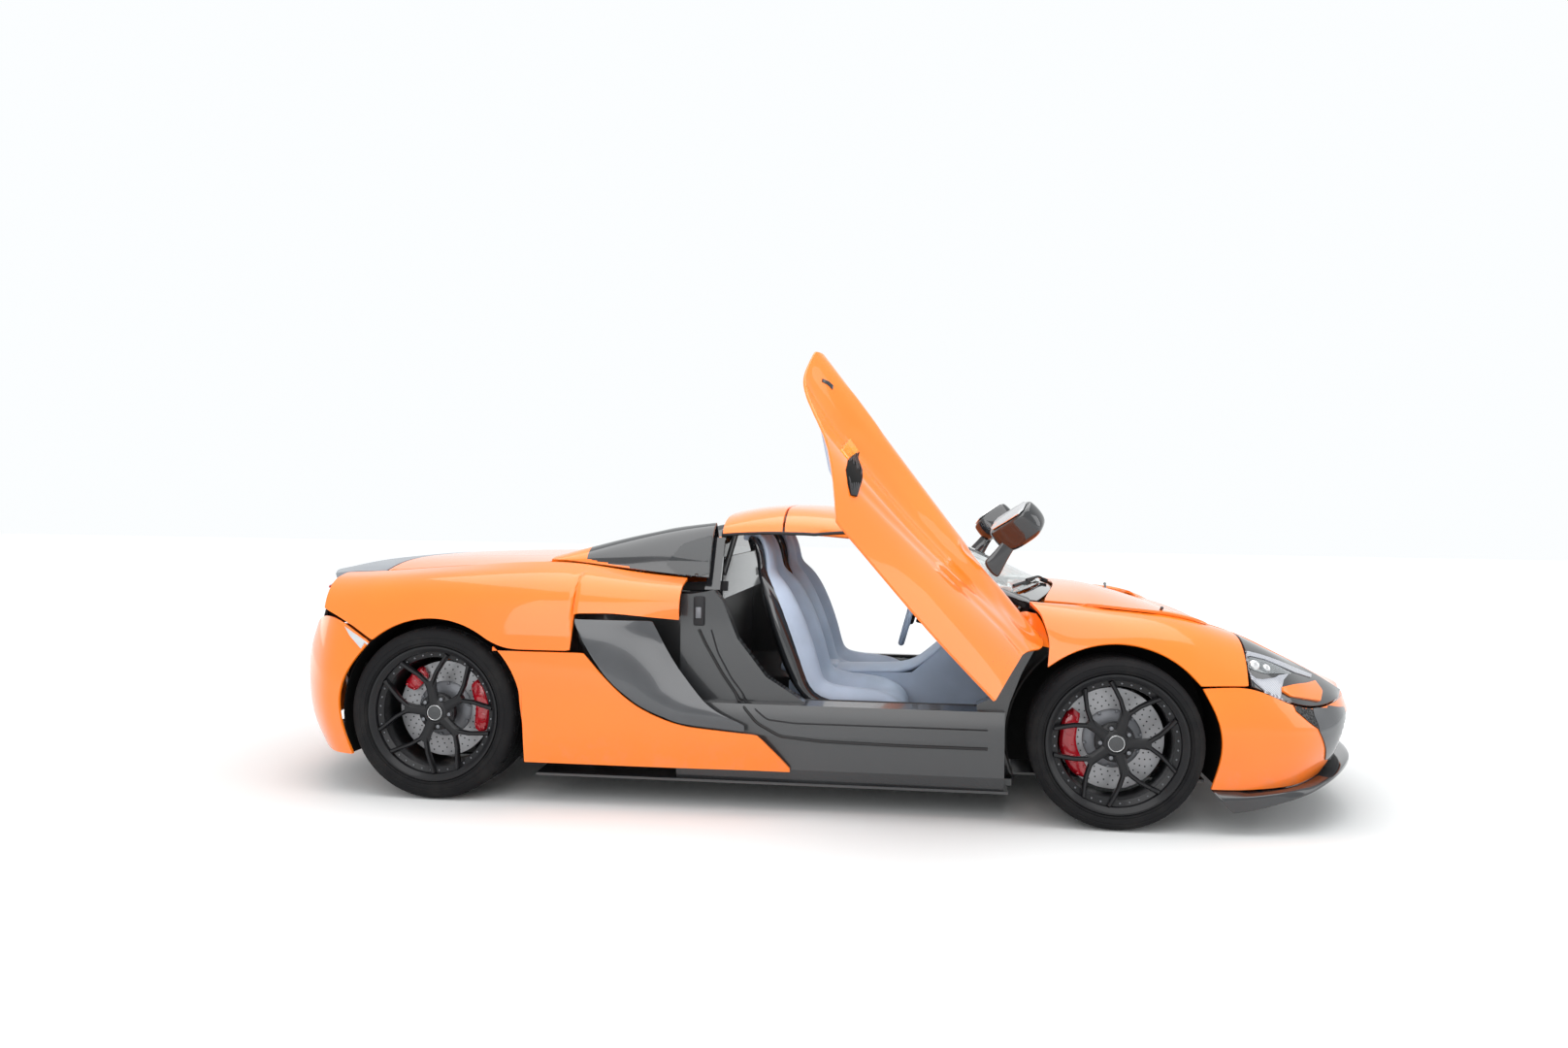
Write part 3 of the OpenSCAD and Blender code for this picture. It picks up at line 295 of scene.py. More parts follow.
castMetal = metalFinish("castMetal", (0.20, 0.205, 0.22), 0.5, 0.9, 220)
brightMetal = metalFinish("brightMetal", (0.72, 0.72, 0.73), 0.2, 1.0, 200)
pipeMetal = metalFinish("pipeMetal", (0.40, 0.39, 0.38), 0.28, 1.0, 60)
airbrakeGrey = metalFinish("airbrakeGrey", (0.33, 0.35, 0.38), 0.3, 0.55, 900)
caliperRed = glossBlackFinish("caliperRed", (0.34, 0.004, 0.012), 0.22)
# the amber and red lenses glow faintly: painted glow
amber = paintedGlowFinish("amberLens", (1.0, 0.40, 0.005), 0.12)
redLens = paintedGlowFinish("redLens", (0.55, 0.004, 0.006), 0.2)
markerLens = plasticFinish("sideMarker", (0.55, 0.57, 0.58), 0.2, 900, 0.05)
lampGlass = glassFinish("lampGlass", (0.86, 0.90, 0.92), 0.92)
screenGlass = glassFinish("screenGlass", (0.90, 0.96, 0.95), 0.96)
tintGlass = glassFinish("tintGlass", (0.05, 0.055, 0.06), 0.5)
honeycomb = meshFinish("honeycomb")
# the headlight reflector's pale colour glows faintly: painted glow
reflectorWithPaintedGlow = paintedGlowFinish("lampReflectorPaintedGlow", (0.50, 0.52, 0.58), 0.05)
print("finishes made")


# modelling
def clear():
    if bpy.context.object and bpy.context.object.mode != "OBJECT":
        bpy.ops.object.mode_set(mode="OBJECT")
    bpy.ops.object.select_all(action="DESELECT")


def hold(*things):
    clear()
    for thing in things:
        thing.select_set(True)
    bpy.context.view_layer.objects.active = things[0]


def modify(piece, kind, **settings):
    hold(piece)
    modifier = piece.modifiers.new(kind.title(), kind)
    for key, value in settings.items():
        setattr(modifier, key, value)
    bpy.ops.object.modifier_apply(modifier=modifier.name)
    return piece


def edit(piece, *steps):  # each step is an operator's name and its settings
    hold(piece)
    bpy.ops.object.mode_set(mode="EDIT")
    bpy.ops.mesh.select_all(action="SELECT")
    for name, settings in steps:
        getattr(bpy.ops.mesh, name)(**settings)
    bpy.ops.object.mode_set(mode="OBJECT")
    return piece


def rounded(piece, levels=2):
    return modify(piece, "SUBSURF", levels=levels, render_levels=levels)


def bevelled(piece, width, degrees=30, steps=2):
    return modify(piece, "BEVEL", width=width, segments=steps, limit_method="ANGLE",
                  angle_limit=math.radians(degrees))


def fixed(piece):
    hold(piece)
    bpy.ops.object.transform_apply(location=True, rotation=True, scale=True)
    return piece


def soft(piece, degrees=35):
    hold(piece)
    bpy.ops.object.shade_smooth_by_angle(angle=math.radians(degrees))
    return piece


def dress(piece, name, material, body="body", degrees=35):
    piece.name = piece.data.name = name
    piece.data.materials.clear()
    piece.data.materials.append(material)
    soft(fixed(piece), degrees)
    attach(piece, body)
    return piece


def movedTo(piece, matrix):
    piece.data.transform(matrix)
    if matrix.determinant() < 0:
        piece.data.flip_normals()
    return piece


def twin(piece, name, body):  # its mirror image on the other side of the car
    other = piece.copy()
    other.data = piece.data.copy()
    bpy.context.collection.objects.link(other)
    other.parent = None
    other.matrix_world = Matrix.Identity(4)
    other.name = other.data.name = name
    movedTo(other, flip)
    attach(other, body)
    return other


def joined(*pieces):
    hold(*pieces)
    bpy.ops.object.join()
    return pieces[0]


def loopOf(points, fill="NGON"):
    bpy.ops.mesh.primitive_circle_add(vertices=len(points), fill_type=fill)
    piece = bpy.context.object
    for vertex, point in zip(piece.data.vertices, points):
        vertex.co = point
    return piece


def plate(points, depth, rim):  # an outline in space, pushed out by depth, its edges rounded
    piece = loopOf([Vector(p) for p in points])
    edit(piece, ("extrude_region_move", {"TRANSFORM_OT_translate": {"value": depth}}),
         ("select_all", {"action": "SELECT"}), ("normals_make_consistent", {"inside": False}))
    return bevelled(piece, rim)


def turned(outline, centre, steps):  # pairs of radius and place along the axle, spun about the axle
    x, y, z = centre
    piece = loopOf([Vector((x, y + h, z + r)) for r, h in outline], "NOTHING")
    spin = {"steps": steps, "angle": 2 * math.pi, "center": centre, "axis": (0, 1, 0)}
    return edit(piece, ("spin", spin), ("select_all", {"action": "SELECT"}),
                ("remove_doubles", {"threshold": 0.00002}), ("normals_make_consistent", {"inside": False}))


def around(centre, r, degrees, h):  # a place r from the axle and h along it
    a = math.radians(degrees)
    return Vector((centre[0] + r * math.cos(a), centre[1] + h, centre[2] + r * math.sin(a)))


def rod(points, radius, rings=4, closed=False):
    curve = bpy.data.curves.new("rod", "CURVE")
    curve.dimensions, curve.bevel_depth, curve.bevel_resolution = "3D", radius, rings
    curve.use_fill_caps, curve.resolution_u = not closed, 6
    line = curve.splines.new("NURBS")
    line.points.add(len(points) - 1)
    for spot, point in zip(line.points, points):
        spot.co = (*point, 1)
    line.order_u, line.use_endpoint_u, line.use_cyclic_u = 3, not closed, closed
    piece = bpy.data.objects.new("rod", curve)
    bpy.context.collection.objects.link(piece)
    hold(piece)
    bpy.ops.object.convert(target="MESH")
    return bpy.context.object


def ball(place, size, steps=24):
    bpy.ops.mesh.primitive_uv_sphere_add(segments=steps, ring_count=steps // 2, radius=1, location=place)
    piece = bpy.context.object
    piece.scale = size
    return fixed(piece)


def drum(place, axis, radius, depth, rim=0.0, steps=32):
    bpy.ops.mesh.primitive_cylinder_add(vertices=steps, radius=radius, depth=depth, location=place,
                                        rotation=Vector(axis).to_track_quat("Z", "Y").to_euler())
    piece = fixed(bpy.context.object)
    if rim:
        bevelled(piece, rim, 40)
    return piece


def brick(low, high, rim=0.003, steps=2):
    middle = [(a + b) / 2 for a, b in zip(low, high)]
    bpy.ops.mesh.primitive_cube_add(size=1, location=middle)
    piece = bpy.context.object
    piece.scale = [b - a for a, b in zip(low, high)]
    fixed(piece)
    return modify(piece, "BEVEL", width=rim, segments=steps)


def sheet(rows, thick=0.0, levels=0):  # rows of points, all of one length
    tall, wide = len(rows), len(rows[0])
    bpy.ops.mesh.primitive_grid_add(x_subdivisions=wide - 1, y_subdivisions=tall - 1, size=2)
    piece = bpy.context.object
    for vertex in piece.data.vertices:
        i = round((vertex.co.x + 1) / 2 * (wide - 1))
        j = round((vertex.co.y + 1) / 2 * (tall - 1))
        vertex.co = rows[j][i]
    if levels:
        modify(piece, "SUBSURF", levels=levels, render_levels=levels, boundary_smooth="PRESERVE_CORNERS")
    if thick:
        modify(piece, "SOLIDIFY", thickness=thick, offset=-1, use_even_offset=True)
    return piece


def capped(rings):  # closed rings of points joined into one body with both ends filled
    piece = sheet([[*ring, ring[0]] for ring in rings])
    return edit(piece, ("remove_doubles", {"threshold": 0.00001}), ("region_to_loop", {}),
                ("edge_face_add", {}), ("select_all", {"action": "SELECT"}),
                ("normals_make_consistent", {"inside": False}))


flip = Matrix.Scale(-1, 4, (0, 1, 0))
print("tools ready")


# body panels, smoothed from the frame's own
panelLook = {"crease": 0.96, "sharp": 38, "levels": 2, "smooth": 34}  # angles in degrees


def smoothed(name, material):
    source = nodes[name]
    piece = source.copy()
    piece.data = source.data.copy()
    bpy.context.collection.objects.link(piece)
    piece.parent = None
    piece.matrix_world = Matrix.Identity(4)
    for key in list(piece.keys()):
        del piece[key]
    edit(piece, ("remove_doubles", {"threshold": 0.00005}),
         ("tris_convert_to_quads", {"face_threshold": math.radians(50), "shape_threshold": math.radians(60)}))
    shape = bmesh.new()
    shape.from_mesh(piece.data)
    crease = shape.edges.layers.float.new("crease_edge")
    for edge in shape.edges:
        if len(edge.link_faces) != 2 or edge.calc_face_angle(0) > math.radians(panelLook["sharp"]):
            edge[crease] = panelLook["crease"]
    shape.to_mesh(piece.data)
    shape.free()
    rounded(piece, panelLook["levels"])
    dress(piece, name + "_skin", material, source["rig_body"], panelLook["smooth"])
    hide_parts(name)
    return piece


paintedPanels = ("front_bumper", "front_fenders", "bonnet", "roof", "tonneau_cover", "engine_cover",
                 "rear_fenders",
                 "side_panels", "rear_bumper", "door_right", "door_left")
skins = {name: smoothed(name, paint) for name in paintedPanels}
otherPanels = (("side_intakes", bladeGrey, "carbon"), ("splitter", gloss, "black_trim"),
               ("airbrake", airbrakeGrey, "airbrake_grey"), ("front_grille", honeycomb, "black_trim"),
               ("rear_grille", honeycomb, "black_trim"), ("tail_lights", redLens, "red_lens"),
               ("windscreen_frame", gloss, "black_trim"), ("headlights", gloss, "black_trim"))
for name, material, slot in otherPanels:
    skins[name] = smoothed(name, material)
print("panels smoothed")

# the buttresses beside the rear window are black
lid = skins["tonneau_cover"]
lid.data.materials.append(gloss)
buttress = {"start": -0.372, "length": 0.5, "inner": 0.47, "spread": 0.10, "low": 0.880, "rise": 0.085}
for face in lid.data.polygons:
    x, y, z = face.center
    back = (buttress["start"] - x) / buttress["length"]  # 0 at the roof, 1 where the black ends
    inner = buttress["inner"] + buttress["spread"] * max(0, back)
    lowest = buttress["low"] + buttress["rise"] * max(0, back)
    if abs(y) > inner and back < 1.05 and z > lowest:
        face.material_index = 1


# carried-over nodes
carried = {
    "tub": carbon, "wheel_liners": linerFelt, "suspension": castMetal, "engine": castMetal,
    "knuckle_right": castMetal, "knuckle_left": castMetal, "diffuser": carbon, "exhausts": pipeMetal,
    "windscreen": screenGlass,
    "rear_glass": tintGlass, "dashboard": leather, "steering_wheel": leather, "door_trim_right": leather,
    "door_trim_left": leather, "seat_right": leather, "seat_left": leather, "mirror_right": gloss,
    "mirror_left": gloss,
}
for wheel in ("front_right", "front_left", "rear_right", "rear_left"):
    carried["tyre_" + wheel], carried["rim_" + wheel] = rubber, wheelBlack
for name, material in carried.items():
    nodes[name].data.materials.clear()
    nodes[name].data.materials.append(material)
    soft(nodes[name], 32)
print("frame nodes dressed")


# wheels, tyres and brakes
wheelLook = {"stemAngle": {"front": 72, "rear": 30}, "armSpread": 24, "branch": 0.118, "rivets": 40}
wheelSizes = {  # axle x, tyre radius, tyre width, rim lip radius
    "front": (1.213, 0.323, 0.235, 0.262),
    "rear": (-1.457, 0.345, 0.305, 0.270),
}
faceY, brakeY = 0.938, 0.778  # the tyres' outer faces and the discs, from the middle of the car
treadSteps = 96


def tyrePiece(x, radius, width, lip):
    middle = faceY - width / 2
    half = width / 2
    groove = 0.006
    outer = []
    for s in (-1, 1):
        side = [(lip - 0.017, half - 0.030), (lip - 0.012, half - 0.021), (lip + 0.001, half - 0.016),
                (lip + 0.005, half - 0.006), (lip + 0.009, half - 0.0015), (lip + 0.013, half - 0.0035),
                (lip + 0.016, half - 0.0005), (lip + 0.022, half), (lip + 0.030, half - 0.0004),
                (lip + 0.033, half - 0.0022), (lip + 0.036, half - 0.0010), (radius - 0.020, half - 0.005),
                (radius - 0.012, half - 0.010), (radius - 0.0055, half - 0.018),
                (radius - 0.002, half - 0.029)]
        outer.append([(r, s * h) for r, h in side])
    tread = []
    for share in (-0.62, -0.22, 0.22, 0.62):
        centre = share * half
        tread += [(radius - 0.0003, centre - 0.0055), (radius - groove, centre - 0.0045),
                  (radius - groove, centre + 0.0045), (radius - 0.0003, centre + 0.0055)]
    inner = [(lip - 0.012, half - 0.036), (lip + 0.012, half - 0.024), (radius - 0.020, half - 0.026),
             (radius - 0.014, 0), (radius - 0.020, -half + 0.026), (lip + 0.012, -half + 0.024),
             (lip - 0.012, -half + 0.036)]
    outline = outer[0] + tread + outer[1][::-1] + inner
    return turned(outline, (x, middle, radius), treadSteps)


def treadCuts(tyre, x, radius, width):  # the shoulders' short slots, cut as real notches
    middle = faceY - width / 2
    shape = bmesh.new()
    shape.from_mesh(tyre.data)
    step = 2 * math.pi / treadSteps
    centre = Vector((x, middle, radius))
    for face in shape.faces:
        spot = face.calc_center_median() - centre
        reach = math.hypot(spot.x, spot.z)
        around = int((math.atan2(spot.z, spot.x) + math.pi) / step)
        if reach > radius - 0.004 and abs(spot.y) > width * 0.31 and around % 3 == 0:
            bmesh.ops.inset_individual(shape, faces=[face], thickness=0.004)
            for vertex in face.verts:
                away = vertex.co - centre
                away.y = 0
                vertex.co -= away.normalized() * 0.005
    shape.to_mesh(tyre.data)
    shape.free()


def rimPiece(x, radius, width, lip, firstStem):
    middle, half = faceY - width / 2, width / 2
    face = half - 0.012
    seat = lip - 0.018
    outline = [(lip, face + 0.006), (lip + 0.0015, face + 0.002), (lip, face - 0.002), (seat, face - 0.008),
               (seat - 0.024, face - 0.060), (seat - 0.024, -face + 0.060), (seat, -face + 0.008),
               (lip, -face + 0.002), (lip, -face - 0.003), (lip - 0.007, -face - 0.003),
               (seat - 0.010, -face + 0.004),
               (seat - 0.031, -face + 0.052), (seat - 0.031, face - 0.052), (seat - 0.029, face - 0.034),
               (seat - 0.008, face - 0.026), (seat - 0.006, face - 0.010), (lip - 0.014, face - 0.001),
               (lip - 0.010, face + 0.003), (lip - 0.006, face + 0.006)]
    centre = (x, middle, radius)
    pieces = [turned(outline, centre, 96)]
    reach = seat - 0.010
    branch = wheelLook["branch"]

    def limb(spine, widths, tops, floor):  # a bar along polar points, ridged on its outer side
        rows = []
        flatSpots = [around(centre, r, a, 0) for r, a in spine]
        for i, spot in enumerate(flatSpots):
            ahead = flatSpots[min(i + 1, len(flatSpots) - 1)] - flatSpots[max(i - 1, 0)]
            across = Vector((-ahead.z, 0, ahead.x)).normalized()
            w, top = widths[i] / 2, tops[i]
            ridge = ((-0.86, floor), (-1.0, floor + 0.006), (-1.0, top - 0.007), (-0.62, top - 0.0015),
                     (-0.42, top), (0.42, top), (0.62, top - 0.0015), (1.0, top - 0.007),
                     (1.0, floor + 0.006), (0.86, floor))
            rows.append([spot + across * (w * s) + Vector((0, h, 0)) for s, h in ridge])
        return capped(rows)

    deep = face - 0.052
    for k in range(5):
        stem = firstStem + 72 * k
        pieces.append(limb([(0.030, stem), (0.060, stem), (0.095, stem), (branch + 0.010, stem)],
                           [0.052, 0.038, 0.036, 0.044],
                           [face - 0.024, face - 0.022, face - 0.020, face - 0.019], deep))
        for side in (-1, 1):
            spread = wheelLook["armSpread"] * side
            spine = [(branch - 0.026, stem + 1.5 * side), (branch + 0.006, stem + 5.5 * side),
                     (0.165, stem + spread * 0.56), (0.205, stem + spread * 0.84), (reach, stem + spread)]
            pieces.append(limb(spine, [0.014, 0.018, 0.0165, 0.0160, 0.018],
                               [face - 0.021, face - 0.018, face - 0.014, face - 0.010, face - 0.007],
                               deep + 0.012))
    pieces.append(turned(((0.0005, face - 0.066), (0.074, face - 0.066), (0.077, face - 0.060),
                          (0.074, face - 0.040), (0.052, face - 0.030), (0.045, face - 0.023),
                          (0.036, face - 0.021), (0.034, face - 0.026), (0.0005, face - 0.026)), centre, 60))
    bolts = []
    for k in range(5):
        turn = firstStem + 36 + 72 * k
        pieces.append(drum(around(centre, 0.058, turn, face - 0.040), (0, 1, 0), 0.013, 0.016, 0.002, 18))
        bolts.append(drum(around(centre, 0.058, turn, face - 0.030), (0, 1, 0), 0.0085, 0.014, 0.002, 6))
    for k in range(wheelLook["rivets"]):
        a = 360 * (k + 0.5) / wheelLook["rivets"]
        near = min(abs((a - firstStem - s * wheelLook["armSpread"] + 36) % 72 - 36) for s in (-1, 1))
        if near > 3.4:  # none where an arm meets the rim
            bolts.append(ball(around(centre, seat - 0.018, a, face - 0.0275), (0.0042, 0.0026, 0.0042), 8))
    cap = turned(((0.0004, face - 0.0262), (0.0335, face - 0.0262), (0.0335, face - 0.021),
                  (0.0300, face - 0.0185), (0.0275, face - 0.0205), (0.0004, face - 0.0190)), centre, 48)
    bead = [k * math.pi / 4 for k in range(8)]
    ring = turned([(0.0292 + 0.0012 * math.cos(t), face - 0.0185 + 0.0016 * math.sin(t)) for t in bead],
                  centre, 48)
    return joined(*pieces), joined(*bolts), cap, ring


def brakePieces(x, radius):
    centre, disc = (x, brakeY, radius), 0.195
    plateOut = turned(((0.112, -0.0165), (disc - 0.001, -0.0165), (disc, -0.0155), (disc, -0.005),
                       (disc - 0.006, -0.005), (disc - 0.006, 0.005), (disc, 0.005), (disc, 0.0155),
                       (disc - 0.001, 0.0165), (0.112, 0.0165)), centre, 90)
    # dark discs on the disc face stand in for the drilled holes: painted shade, no hole is cut
    holes = []
    for k in range(30):
        for r, shift in ((0.128, 0), (0.145, 4), (0.162, 8), (0.179, 2)):
            holes.append(drum(around(centre, r, k * 12 + shift, 0.0168), (0, 1, 0), 0.0032, 0.0012, 0, 8))
    bell = [turned(((0.034, 0.000), (0.111, 0.000), (0.113, 0.010), (0.112, 0.020), (0.104, 0.026),
                    (0.070, 0.028), (0.034, 0.028)), centre, 60)]
    for k in range(10):
        bell.append(drum(around(centre, 0.106, k * 36 + 10, 0.027), (0, 1, 0), 0.006, 0.010, 0.001, 10))
    return plateOut, joined(*holes), joined(*bell)


def caliperPiece(x, radius, start, end):
    centre = (x, brakeY, radius)
    rows = []
    for k in range(13):
        t = k / 12
        bulge = 1 - abs(2 * t - 1) ** 5
        scallop = 0.5 + 0.5 * math.cos(t * math.pi * 6)
        low = 0.137 + 0.016 * (1 - bulge)
        high = 0.2035 - 0.010 * (1 - bulge) - 0.004 * scallop
        front = 0.030 + 0.011 * bulge + 0.003 * scallop
        section = ((low, 0.0208), (low, front - 0.004), (low + 0.012, front), (low + 0.028, front + 0.002),
                   (high - 0.014, front), (high - 0.003, front - 0.010), (high, 0.006), (high, -0.070),
                   (high - 0.008, -0.080), (low, -0.080), (low, -0.0208), (high - 0.007, -0.0208),
                   (high - 0.007, 0.0208))
        rows.append([around(centre, r, start + (end - start) * t, h) for r, h in section])
    piece = bevelled(capped(rows), 0.0022, 28)
    bolts = []
    for t, h in ((0.10, 0.0395), (0.5, 0.0425), (0.90, 0.0395)):
        for r in (0.150, 0.186):
            place = around(centre, r, start + (end - start) * t, h)
            bolts.append(drum(place, (0, 1, 0), 0.0055, 0.006, 0.001, 6))
    for t in (0.3, 0.7):
        place = around(centre, 0.166, start + (end - start) * t, 0.043)
        bolts.append(drum(place, (0, 1, 0), 0.017, 0.006, 0.002, 24))
    return joined(piece, *bolts)


for end, (x, radius, width, lip) in wheelSizes.items():
    tyre = tyrePiece(x, radius, width, lip)
    treadCuts(tyre, x, radius, width)
    parts = [("tyre_skin", tyre, rubber, "tyre_rubber", 28)]
    rim, studs, cap, ring = rimPiece(x, radius, width, lip, wheelLook["stemAngle"][end])
    plateOut, holeShadeDiscs, bell = brakePieces(x, radius)
    parts += [("rim_skin", rim, wheelBlack, "wheel_black", 30),
              ("studs", studs, castMetal, "chassis_metal", 40),
              ("cap", cap, gloss, "wheel_black", 40), ("cap_ring", ring, brightMetal, "steel", 60),
              ("disc", plateOut, discSteel, "steel", 30), ("disc_holes", holeShadeDiscs, trim, "black_trim", 30),
              ("bell", bell, castMetal, "chassis_metal", 35)]
    start, finish = (143, 236) if end == "front" else (-30, 42)
    caliper = caliperPiece(x, radius, start, finish)
    parts.append(("caliper", caliper, caliperRed, "chassis_metal", 32))
    for kind, piece, material, slot, degrees in parts:
        leftBody = "wheel_%s_left" % end
        if kind == "caliper":
            leftBody = "knuckle_left" if end == "front" else "body"
        dress(piece, "%s_%s_left" % (kind, end), material, leftBody, degrees)
        rightBody = leftBody.replace("left", "right")
        other = twin(piece, "%s_%s_right" % (kind, end), rightBody)
        if kind in ("tyre_skin", "rim_skin"):
            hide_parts("%s_%s_left" % (kind[:4].rstrip("_"), end))
            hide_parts("%s_%s_right" % (kind[:4].rstrip("_"), end))
print("wheels and brakes built")


# pieces laid on a panel's surface
def between(points, count):  # count places spread along a line of points
    spots = [Vector(p) for p in points]
    steps = [0.0]
    for a, b in zip(spots, spots[1:]):
        steps.append(steps[-1] + (b - a).length)
    spread = []
    for k in range(count):
        want = steps[-1] * k / (count - 1)
        i = max(j for j in range(len(spots) - 1) if steps[j] <= want + 1e-9)
        share = (want - steps[i]) / max(steps[i + 1] - steps[i], 1e-9)
        spread.append(spots[i].lerp(spots[i + 1], share))
    return spread


treeOf = {}


def surface(piece):
    if piece.name not in treeOf:
        data = piece.data
        treeOf[piece.name] = BVHTree.FromPolygons([v.co for v in data.vertices],
                                                  [p.vertices for p in data.polygons])
    return treeOf[piece.name]


def follow(target, points, lift, count, outward):  # places along a line, each moved onto the target
    spots = []
    for spot in between(points, count):
        place, normal = surface(target).find_nearest(spot)[:2]
        spots.append(place + (normal if normal.dot(Vector(outward)) > 0 else -normal) * lift)
    return spots


def laid(target, rows, lift, thick, across, along, outward):  # a skin pressed onto the target
    coarse = [between(row, across) for row in rows]
    columns = [between([row[i] for row in coarse], along) for i in range(across)]
    facing = Vector(outward).normalized()
    tree = surface(target)
    points = []
    for j in range(along):
        line = []
        for i in range(across):
            spot = columns[i][j]
            place, normal = tree.ray_cast(spot + facing * 0.12, -facing, 0.2)[:2]
            if place is None:
                place, normal = tree.find_nearest(spot)[:2]
            if normal.dot(facing) < 0:
                normal = -normal
            line.append(place + normal * lift)
        points.append(line)
    piece = sheet(points)
    total = sum((p.normal * p.area for p in piece.data.polygons), Vector((0, 0, 0)))
    if total.dot(facing) < 0:
        piece.data.flip_normals()
    modify(piece, "SOLIDIFY", thickness=thick, offset=-1, use_even_offset=False)
    return bevelled(piece, min(0.0012, thick * 0.3), 50)


# the right-hand piece is dressed and its mirror twin set on the left
def both(piece, name, material, body="body", degrees=35):
    rightBody = body.replace("left", "right")
    dress(piece, name + "_right", material, rightBody, degrees)
    other = twin(piece, name + "_left", rightBody.replace("right", "left"))
    return piece


def strip(points, radius, name, material, body="body"):
    return both(rod(points, radius, 3), name, material, body)


# headlights and nose
headlight = skins["headlights"]
nose = skins["front_bumper"]
lampOut = (0.45, -0.8, 0.4)

browRows = [[(1.640, -0.834, 0.667), (1.700, -0.781, 0.668), (1.771, -0.743, 0.651),
             (1.844, -0.702, 0.625), (1.922, -0.648, 0.593), (2.000, -0.580, 0.560)],
            [(1.662, -0.846, 0.648), (1.712, -0.796, 0.652), (1.775, -0.760, 0.636),
             (1.840, -0.730, 0.609), (1.905, -0.690, 0.580), (1.985, -0.610, 0.550)]]
glossTop = laid(headlight, browRows, 0.0035, 0.003, 30, 5, lampOut)
both(glossTop, "lamp_brow", reflectorWithPaintedGlow, "body")
edgeRows = [[(1.640, -0.838, 0.664), (1.646, -0.854, 0.639), (1.680, -0.867, 0.598), (1.716, -0.867, 0.559),
             (1.764, -0.866, 0.520), (1.802, -0.862, 0.492), (1.847, -0.852, 0.464)],
            [(1.655, -0.838, 0.657), (1.662, -0.850, 0.640), (1.692, -0.862, 0.606), (1.730, -0.858, 0.570),
             (1.778, -0.850, 0.533), (1.815, -0.846, 0.505), (1.856, -0.843, 0.475)]]
edgeBand = laid(headlight, edgeRows, 0.0035, 0.003, 30, 4, lampOut)
both(edgeBand, "lamp_rim", reflectorWithPaintedGlow, "body")
lensRows = [[(1.672, -0.838, 0.650), (1.720, -0.799, 0.648), (1.778, -0.764, 0.632),
             (1.833, -0.742, 0.609), (1.885, -0.722, 0.582)],
            [(1.678, -0.851, 0.630), (1.712, -0.838, 0.606), (1.764, -0.818, 0.590),
             (1.824, -0.778, 0.587), (1.880, -0.728, 0.580)]]
lens = laid(headlight, lensRows, 0.0030, 0.002, 26, 8, lampOut)
both(lens, "lamp_lens", lampGlass, "body")
bulbs = (((1.722, -0.822, 0.620), 0.021), ((1.772, -0.794, 0.606), 0.017))
for k, (place, size) in enumerate(bulbs):
    both(ball(place, (size, size * 0.6, size), 20), "lamp_bulb_%d" % k, brightMetal, "body", 60)
wedgeRows = [[(1.700, -0.866, 0.580), (1.746, -0.844, 0.571), (1.801, -0.808, 0.574),
              (1.821, -0.787, 0.581), (1.871, -0.740, 0.582)],
             [(1.741, -0.863, 0.543), (1.770, -0.850, 0.535), (1.800, -0.828, 0.545),
              (1.815, -0.812, 0.556), (1.840, -0.790, 0.566)],
             [(1.800, -0.860, 0.496), (1.806, -0.852, 0.500), (1.812, -0.838, 0.512),
              (1.816, -0.826, 0.524), (1.820, -0.820, 0.535)]]
wedge = laid(headlight, wedgeRows, 0.0045, 0.003, 22, 8, lampOut)
both(wedge, "lamp_tick", reflectorWithPaintedGlow, "body")
inlayRows = [[(1.820, -0.819, 0.539), (1.874, -0.774, 0.544), (1.945, -0.699, 0.541), (1.998, -0.627, 0.541)],
             [(1.820, -0.826, 0.530), (1.862, -0.806, 0.520), (1.930, -0.752, 0.514), (2.020, -0.655, 0.508)],
             [(1.822, -0.828, 0.526), (1.855, -0.818, 0.506), (1.916, -0.775, 0.492), (1.990, -0.715, 0.476)]]
orange = laid(headlight, inlayRows, 0.010, 0.012, 30, 10, lampOut)
both(orange, "lamp_inlay", paint, "body")
panelRows = [[(1.951, -0.762, 0.468), (2.021, -0.692, 0.459), (2.063, -0.640, 0.448), (2.100, -0.560, 0.438)],
             [(1.950, -0.798, 0.434), (2.008, -0.745, 0.425), (2.058, -0.690, 0.409), (2.110, -0.590, 0.395)],
             [(1.968, -0.806, 0.379), (2.018, -0.750, 0.370), (2.062, -0.695, 0.358), (2.112, -0.600, 0.340)],
             [(2.000, -0.767, 0.310), (2.048, -0.705, 0.300), (2.080, -0.665, 0.290), (2.115, -0.600, 0.285)],
             [(2.007, -0.739, 0.262), (2.045, -0.700, 0.255), (2.078, -0.650, 0.250), (2.105, -0.590, 0.248)]]
both(laid(nose, panelRows, 0.0045, 0.004, 16, 20, (0.7, -0.7, 0)), "nose_panel", bladeGrey, "body")
meshRows = [[(1.858, -0.826, 0.500), (1.905, -0.792, 0.487), (1.951, -0.762, 0.470)],
            [(1.872, -0.840, 0.456), (1.912, -0.820, 0.446), (1.950, -0.795, 0.430)],
            [(1.920, -0.833, 0.420), (1.940, -0.822, 0.404), (1.968, -0.805, 0.385)]]
both(laid(nose, meshRows, 0.0035, 0.003, 14, 10, (0.6, -0.7, 0.1)), "nose_mesh", honeycomb)
print("nose built")


